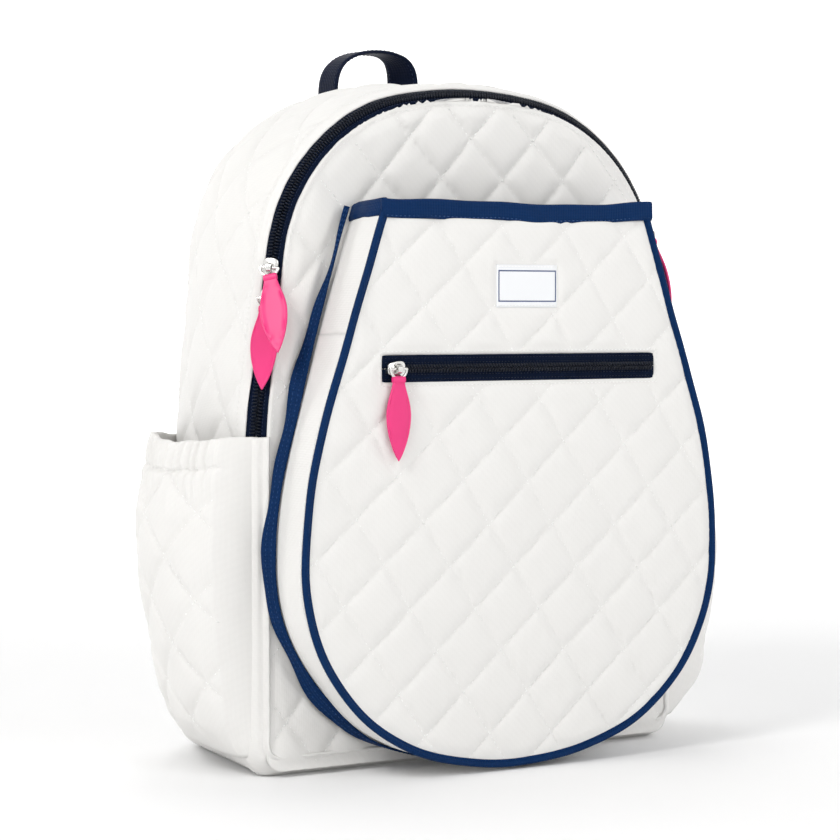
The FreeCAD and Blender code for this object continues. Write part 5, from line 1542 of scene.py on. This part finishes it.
def leaf_mesh(curve=0.0):
    """Pull tab: folded sleeve at the top, then a leaf with a raised rim and a pointed tip."""
    f0, n0, tip = 8.6, 4.6, 8.6 + 50.5
    t = np.concatenate([np.linspace(0, 0.06, 4), np.linspace(0.08, 0.97, 44), [0.985, 0.995, 1.0]])
    lx = f0 - 1.6 + t * (tip - f0 + 1.6)
    tt = np.clip((lx - f0) / (tip - f0), 0, 1)
    # half width: neck 4.5, widest 9.2 at 42 % of the length, pointed at the tip
    hw = np.where(tt < 0.42, 4.5 + 4.7 * np.sin(np.clip(tt / 0.42, 0, 1) * math.pi / 2) ** 1.35,
                  9.2 * np.cos(np.clip((tt - 0.42) / 0.58, 0, 1) * math.pi / 2) ** 0.80)
    hw = np.maximum(hw, 0.35)
    s = np.array([-1, -0.985, -0.93, -0.86, -0.80, -0.72, -0.45, 0, 0.45, 0.72, 0.80, 0.86, 0.93, 0.985, 1])
    top, bot = [], []
    for i in range(len(lx)):
        y = s * hw[i]
        d = hw[i] - np.abs(y)
        base = 0.80 - 0.42 * np.exp(-((d - 1.55) / 0.34) ** 2) * smooth(0.02, 0.1, tt[i]) + 0.16 * (1 - (y / 9.2) ** 2)
        z = base * np.clip(np.sqrt(np.clip(d / 0.55, 0, 1)), 0.0, 1)
        bend = curve * (tt[i] ** 2)
        top.append(np.stack([np.full_like(y, -lx[i]), y, z + bend], 1))
        bot.append(np.stack([np.full_like(y, -lx[i]), y, -z + bend], 1))
    m = len(s)
    top, bot = np.array(top), np.array(bot)
    v = np.concatenate([top.reshape(-1, 3), bot.reshape(-1, 3)])
    nt_ = len(lx)
    f = [list(q) for q in grid_faces(nt_, m)] + [list(q) for q in (grid_faces(nt_, m, flip=True) + nt_ * m)]
    for i in range(nt_ - 1):  # close the long rims
        f.append([i * m, (i + 1) * m, nt_ * m + (i + 1) * m, nt_ * m + i * m])
        f.append([i * m + m - 1, nt_ * m + i * m + m - 1, nt_ * m + (i + 1) * m + m - 1, (i + 1) * m + m - 1])
    f.append([j for j in range(m)] + [nt_ * m + j for j in range(m)][::-1])
    f.append([(nt_ - 1) * m + j for j in range(m)][::-1] + [nt_ * m + (nt_ - 1) * m + j for j in range(m)])
    # sleeve round the ring
    k = 24
    a = np.linspace(0, 2 * math.pi, k, endpoint=False)
    prof = np.stack([-(n0 + f0 + 0.6) / 2 + np.sign(np.cos(a)) * np.abs(np.cos(a)) ** 0.8 * (f0 + 0.6 - n0) / 2,
                     np.sign(np.sin(a)) * np.abs(np.sin(a)) ** 0.8 * 1.9], 1)
    ys = np.array([-4.5, -4.2, -2.0, 0, 2.0, 4.2, 4.5])
    sc = np.array([0.82, 1, 1, 1.0, 1, 1, 0.82])
    base = len(v)
    cen = prof.mean(0)
    ring = np.concatenate([np.column_stack([(cen + (prof - cen) * q)[:, 0], np.full(k, y), (cen + (prof - cen) * q)[:, 1]]) for y, q in zip(ys, sc)])
    v = np.concatenate([v, ring])
    for i in range(len(ys) - 1):
        for j in range(k):
            f.append([base + i * k + j, base + i * k + (j + 1) % k, base + (i + 1) * k + (j + 1) % k, base + (i + 1) * k + j])
    f.append([base + j for j in range(k)])
    f.append([base + (len(ys) - 1) * k + j for j in range(k)][::-1])
    return v, f


def place_pull(name, place, slider_body, pull_body, slider_node, pull_node, tilt=0.0, swing=0.0, crosswise=False, curve=0.0, roll=0.0):
    v, f = slider_mesh(crosswise)
    ob = new_object(name + "_slider", moved(v, place), f, STEEL)
    recalc(ob)
    soften(ob)
    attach(ob, slider_body)
    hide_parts(slider_node)
    full = place @ shift((0, 0, 5.8)) @ turn((0, 0, 1), 90.0 if crosswise else 0.0) @ turn((0, 0, 1), swing) @ turn((0, 1, 0), tilt)
    v, f = leaf_mesh(curve)
    ob = new_object(name + "_leaf", moved(v, full @ turn((1, 0, 0), roll)), f, PINK)
    recalc(ob)
    soften(ob)
    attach(ob, pull_body)
    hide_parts(pull_node)


def soften(ob):
    me = ob.data
    try:
        me.set_sharp_from_angle(angle=math.radians(42))
    except AttributeError:
        pass


def build_sliders():
    sl = 0.115
    nrm = math.hypot(1, sl)
    cnx, snz = 1 / nrm, sl / nrm
    reach = cnx * 30.6 + snz * 324.2 + 130.0
    mw, my = MID / R2, -62 - MID / R2
    out_main = (-cnx / R2, -1 / R2, snz / R2)
    along = (snz, 0, cnx)
    for tag, z, tilt in (("upper", 332.0, 14.5), ("lower", 312.0, 0.0)):
        at = (-(reach - mw - snz * z) / cnx, my, z)
        place = frame_matrix(at, along, out_main)
        place_pull("main_" + tag, place, "slider_" + tag, "pull_" + tag, "main_slider_" + tag, "main_pull_" + tag, tilt=tilt, swing=16.0 if tag == "upper" else 3.0)
    place = frame_matrix((-97.0, -127.2, 267.3), (1, 0, 0), (0, -1, 0))
    place_pull("pocket", place, "slider_pocket", "pull_pocket", "pocket_slider", "pocket_pull", crosswise=True)
    cs = 0.3346
    cn = math.hypot(1, cs)
    p3x = 164.0 - 330.0 + 330.0 / cn
    p3z = 140.0 + 330.0 * cs / cn
    z = 356.5
    cx = p3x - cs * (z - p3z) - cn
    place = frame_matrix((cx, -117.3, z), (-cs / cn, 0, 1 / cn), (1 / cn, 0, cs / cn))
    place_pull("cover", place, "slider_cover", "pull_cover", "cover_slider", "cover_pull")


# ------------------------------------------------------------------ handle and straps
def build_handle():
    t = np.linspace(0, 1, 90)
    a = math.pi * (1 - t)
    x = 36.5 * np.sign(np.cos(a)) * np.abs(np.cos(a)) ** 0.9
    x = np.where(x > 0, x * 0.76, x)
    z = 456.0 + 33.5 * np.sin(a) ** 0.62
    y = 62.0 - 3.0 * np.sin(a) + 3.0 * smooth(0.7, 1.0, t)
    path = np.stack([x, y, z], 1)
    tan = unit(np.gradient(path, axis=0))
    ang = np.radians(4 + 30 * smooth(0.45, 0.95, t))
    across = np.stack([-np.sin(ang), np.cos(ang), 0 * ang], 1)
    across = unit(across - tan * (across * tan).sum(1)[:, None])
    nor = unit(np.cross(across, tan))
    hw = 12.0 - 0.7 * np.sin(a) ** 2
    ob = ribbon("handle_webbing", path, across, nor, hw, 2.4, NAVY_WEB, n_across=11)
    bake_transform(ob)
    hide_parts("top_handle")
    bits = Bits()
    for fr in (-0.78, 0.78):
        run = np.concatenate([[0], np.cumsum(np.linalg.norm(np.diff(path, axis=0), axis=1))])
        at = np.arange(4, run[-1] - 4, 3.4)
        for s in (1, -1):
            line_pts = path + across * (fr * hw)[:, None] + nor * (1.22 * s)
            c = np.stack([np.interp(at, run, line_pts[:, k]) for k in range(3)], 1)
            d = unit(np.stack([np.interp(at, run, tan[:, k]) for k in range(3)], 1))
            n = unit(np.stack([np.interp(at, run, nor[:, k]) for k in range(3)], 1)) * s
            bits.stitches(c, d, n, 1.2, 0.3, 0.05)
    st = bits.make("handle_thread", NAVY_THREAD)
    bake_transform(st)


def build_straps():
    for side, tag in ((-1, "left"), (1, "right")):
        lo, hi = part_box("shoulder_strap_" + tag)
        lo, hi = np.array(lo) / MM, np.array(hi) / MM
        n = 110
        t = np.linspace(0, 1, n)
        z = lo[2] + 2 + (hi[2] - lo[2] - 4) * t
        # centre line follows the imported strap's own bow
        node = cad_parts["shoulder_strap_" + tag]
        co = np.array([v.co for v in node.data.vertices]) / MM
        zs, cy = [], []
        for k in np.linspace(lo[2], hi[2], 16):
            sel = np.abs(co[:, 2] - k) < (hi[2] - lo[2]) / 10
            if sel.any():
                zs.append(k)
                cy.append((co[sel, 1].min() + co[sel, 1].max()) / 2)
        y = np.interp(z, zs, cy)
        y = np.convolve(np.pad(y, 8, mode="edge"), np.ones(17) / 17, "valid")
        cx = (lo[0] + hi[0]) / 2 - side * 19.0 * smooth(280, 420, z)
        half = (hi[0] - lo[0]) / 2
        prof = []
        m = 28
        a = np.linspace(0, 2 * math.pi, m, endpoint=False)
        px = np.sign(np.cos(a)) * np.abs(np.cos(a)) ** 0.45
        py = np.sign(np.sin(a)) * np.abs(np.sin(a)) ** 0.75
        taper = (0.62 + 0.38 * smooth(0.0, 0.25, t)) * (1 - 0.22 * smooth(0.62, 1.0, t))
        chan = 1 - 0.22 * np.exp(-((np.mod(z, 38.0) - 19.0) / 2.4) ** 2)
        pts = np.stack([np.stack([cx + px[j] * (half - 0.6) * taper, y + py[j] * 5.0 * chan * (0.75 + 0.25 * np.sin(math.pi * t)), z], 1) for j in range(m)], 1)
        v = pts.reshape(-1, 3)
        f = []
        for i in range(n - 1):
            for j in range(m):
                f.append([i * m + j, i * m + (j + 1) % m, (i + 1) * m + (j + 1) % m, (i + 1) * m + j])
        f.append(list(range(m))[::-1])
        f.append([(n - 1) * m + j for j in range(m)])
        uv = np.stack([np.tile(a * 12, n), np.repeat(z, m)], 1)
        ob = new_object("strap_pad_" + tag, v, f, WHITE, uv=uv)
        recalc(ob)
        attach(ob, "strap_" + tag)
        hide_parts("shoulder_strap_" + tag)
        bits = Bits()
        for zz in list(np.arange(lo[2] + 19, hi[2] - 12, 38.0)):
            for face in (1, -1):
                at = np.arange(-0.8, 0.81, 0.14)
                k = np.full(len(at), zz)
                th = np.interp(k, z, 5.0 * chan * (0.75 + 0.25 * np.sin(math.pi * t)))
                c0, w0, y0 = np.interp(k, z, cx), np.interp(k, z, (half - 0.6) * taper), np.interp(k, z, y)
                py_ = (1 - np.abs(at) ** (2 / 0.45)) ** (0.75 / 2)
                mid = np.stack([c0 + at * w0, y0 + face * th * py_, k], 1)
                bits.stitches(mid, np.tile([1.0, 0, 0], (len(at), 1)), np.tile([0, float(face), 0], (len(at), 1)), 1.3, 0.34, 0.12)
        st = bits.make("strap_stitches_" + tag, THREAD)
        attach(st, "strap_" + tag)
        # navy binding down both edges
        for e in (-1, 1):
            path = np.stack([cx + e * (half - 0.9) * taper, y, z], 1)
            vv, ff, uv2 = tube(path, 1.7, 10)
            bd = new_object("strap_binding_%s_%s" % (tag, "a" if e < 0 else "b"), vv, ff, NAVY_TAPE, uv=uv2)
            recalc(bd)
            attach(bd, "strap_" + tag)


# ------------------------------------------------------------------ what stays from the frame
def build_strap_anchors():
    """Folded webbing that sews each strap to the top of the back."""
    for side, tag in ((-1, "left"), (1, "right")):
        lo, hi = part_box("strap_anchor_" + tag)
        lo, hi = np.array(lo) / MM, np.array(hi) / MM
        n = 40
        t = np.linspace(0, 1, n)
        path = np.stack([np.full(n, side * 54.0), hi[1] - 0.2 - (hi[1] - lo[1] - 1.2) * smooth(0.15, 1.0, t),
                         lo[2] + 1.5 + (hi[2] - lo[2] - 6.5) * np.sin(t * math.pi * 0.5)], 1)
        across = np.tile([1.0, 0, 0], (n, 1))
        nor = unit(np.cross(across, unit(np.gradient(path, axis=0))))
        ob = ribbon("strap_top_" + tag, path, across, nor, 18.0 - 1.5 * t, 2.6, NAVY_WEB, n_across=13)
        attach(ob, BAG)
        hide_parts("strap_anchor_" + tag)


def dress_frame():
    table = {
        "ladder_lock_left": PLASTIC, "ladder_lock_right": PLASTIC,
        "strap_webbing_left": NAVY_WEB, "strap_webbing_right": NAVY_WEB,
        "webbing_anchor_left": NAVY_WEB, "webbing_anchor_right": NAVY_WEB,
        "base_board": BOARD, "laptop_sleeve": LINING, "pocket_pouch": LINING,
        "main_pull_ring_upper": STEEL, "main_pull_ring_lower": STEEL, "pocket_pull_ring": STEEL, "cover_pull_ring": STEEL,
    }
    for n, m in table.items():
        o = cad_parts[n]
        o.data.materials.clear()
        o.data.materials.append(m)


# ------------------------------------------------------------------ stage, light and camera
def build_stage():
    rings = []
    radii = [0.0, 0.3, 0.6, 0.9, 1.2, 1.6, 2.0, 2.5, 3.0]
    prof = [(r, 0.0) for r in radii] + [(3.0 + 1.2 * math.sin(a), 1.2 * (1 - math.cos(a))) for a in np.linspace(0.15, math.pi / 2, 8)] + [(4.2, 2.5), (4.2, 4.5)]
    n = 72
    a = np.linspace(0, 2 * math.pi, n, endpoint=False)
    v, f = [(0.0, 0.0, 0.0)], []
    for r, z in prof[1:]:
        v += [(r * math.cos(x), r * math.sin(x), z) for x in a]
    for j in range(n):
        f.append((0, 1 + j, 1 + (j + 1) % n))
    for i in range(len(prof) - 2):
        for j in range(n):
            p, q = 1 + i * n + j, 1 + i * n + (j + 1) % n
            f.append((p, p + n, q + n, q))
    me = bpy.data.meshes.new("studio_floor")
    me.from_pydata(v, [], f)
    me.polygons.foreach_set("use_smooth", [True] * len(me.polygons))
    m, nt, b = shader("studio_paper", (0.90, 0.90, 0.90), 0.9, spec=0.1)
    N, L = nt.nodes, nt.links
    tc = N.new("ShaderNodeTexCoord")
    ln = N.new("ShaderNodeVectorMath")
    ln.operation = "LENGTH"
    L.new(tc.outputs["Object"], ln.inputs[0])
    # painted light: the floor glows, its emission ramping with distance from the bag from 0.13 close in, which lifts
    # the bag's cast shadow a little, to 0.62 far out
    r = N.new("ShaderNodeMapRange")
    r.interpolation_type = "SMOOTHSTEP"
    r.inputs["From Min"].default_value = 0.75
    r.inputs["From Max"].default_value = 2.4
    r.inputs["To Min"].default_value = 0.13
    r.inputs["To Max"].default_value = 0.62
    L.new(ln.outputs["Value"], r.inputs["Value"])
    b.inputs["Emission Color"].default_value = (1, 1, 1, 1)
    # painted light: the glow is scaled up on the side the camera looks towards, from 0.22 near the bag to full at the
    # far wall, so the backdrop there reads white
    dot = N.new("ShaderNodeVectorMath")
    dot.operation = "DOT_PRODUCT"
    dot.inputs[1].default_value = (0.53, 0.848, 0.0)
    L.new(tc.outputs["Object"], dot.inputs[0])
    behind = N.new("ShaderNodeMapRange")
    behind.inputs["From Min"].default_value = 0.1
    behind.inputs["From Max"].default_value = 1.3
    behind.inputs["To Min"].default_value = 0.22
    behind.inputs["To Max"].default_value = 1.0
    L.new(dot.outputs["Value"], behind.inputs["Value"])
    glow = N.new("ShaderNodeMath")
    glow.operation = "MULTIPLY"
    L.new(r.outputs["Result"], glow.inputs[0])
    L.new(behind.outputs["Result"], glow.inputs[1])
    L.new(glow.outputs["Value"], b.inputs["Emission Strength"])
    ob = bpy.data.objects.new("studio_floor", me)
    me.materials.append(m)
    bpy.context.scene.collection.objects.link(ob)

    w = bpy.data.worlds.new("studio")
    bpy.context.scene.world = w
    w.use_nodes = True
    bg = w.node_tree.nodes["Background"]
    bg.inputs["Color"].default_value = (1, 1, 1, 1)
    bg.inputs["Strength"].default_value = 0.27

    def area(name, loc, aim, size, power, color=(1, 1, 1)):
        l = bpy.data.lights.new(name, "AREA")
        l.shape = "DISK"
        l.size, l.energy, l.color = size, power, color
        o = bpy.data.objects.new(name, l)
        o.location = loc
        o.rotation_euler = (Vector(aim) - Vector(loc)).to_track_quat("-Z", "Y").to_euler()
        bpy.context.scene.collection.objects.link(o)

    area("key", (-1.75, -0.75, 1.75), (0, 0, 0.22), 0.75, 21.0, (1.0, 0.995, 0.985))
    area("fill", (0.5, -2.5, 1.5), (0, 0, 0.2), 1.2, 13.5, (0.99, 0.995, 1.0))
    area("top", (0.3, 0.7, 2.6), (0, 0, 0.3), 1.2, 10.0)

    cam = bpy.data.cameras.new("camera")
    cam.lens, cam.sensor_width = 111.43, 36.0
    cam.clip_end = 50
    o = bpy.data.objects.new("camera", cam)
    o.location = (-0.9669, -1.5508, 0.305)
    pitch = math.atan(110 / 2600)
    az = math.radians(32)
    d = Vector((math.sin(az) * math.cos(pitch), math.cos(az) * math.cos(pitch), -math.sin(pitch)))
    o.rotation_euler = d.to_track_quat("-Z", "Y").to_euler()
    bpy.context.scene.collection.objects.link(o)
    bpy.context.scene.camera = o
    bpy.context.scene.view_settings.view_transform = "Standard"


build_gusset()
build_edge_trim()
build_front()
build_back()
build_main_zip()
build_cover_front()
build_piping()
build_cover_gussets()
build_back_flange()
build_cover_zip()
build_mouth()
build_label()
build_pocket_zip()
build_side_pockets()
build_sliders()
build_handle()
build_straps()
build_strap_anchors()
dress_frame()
build_stage()

bpy.context.view_layer.update()
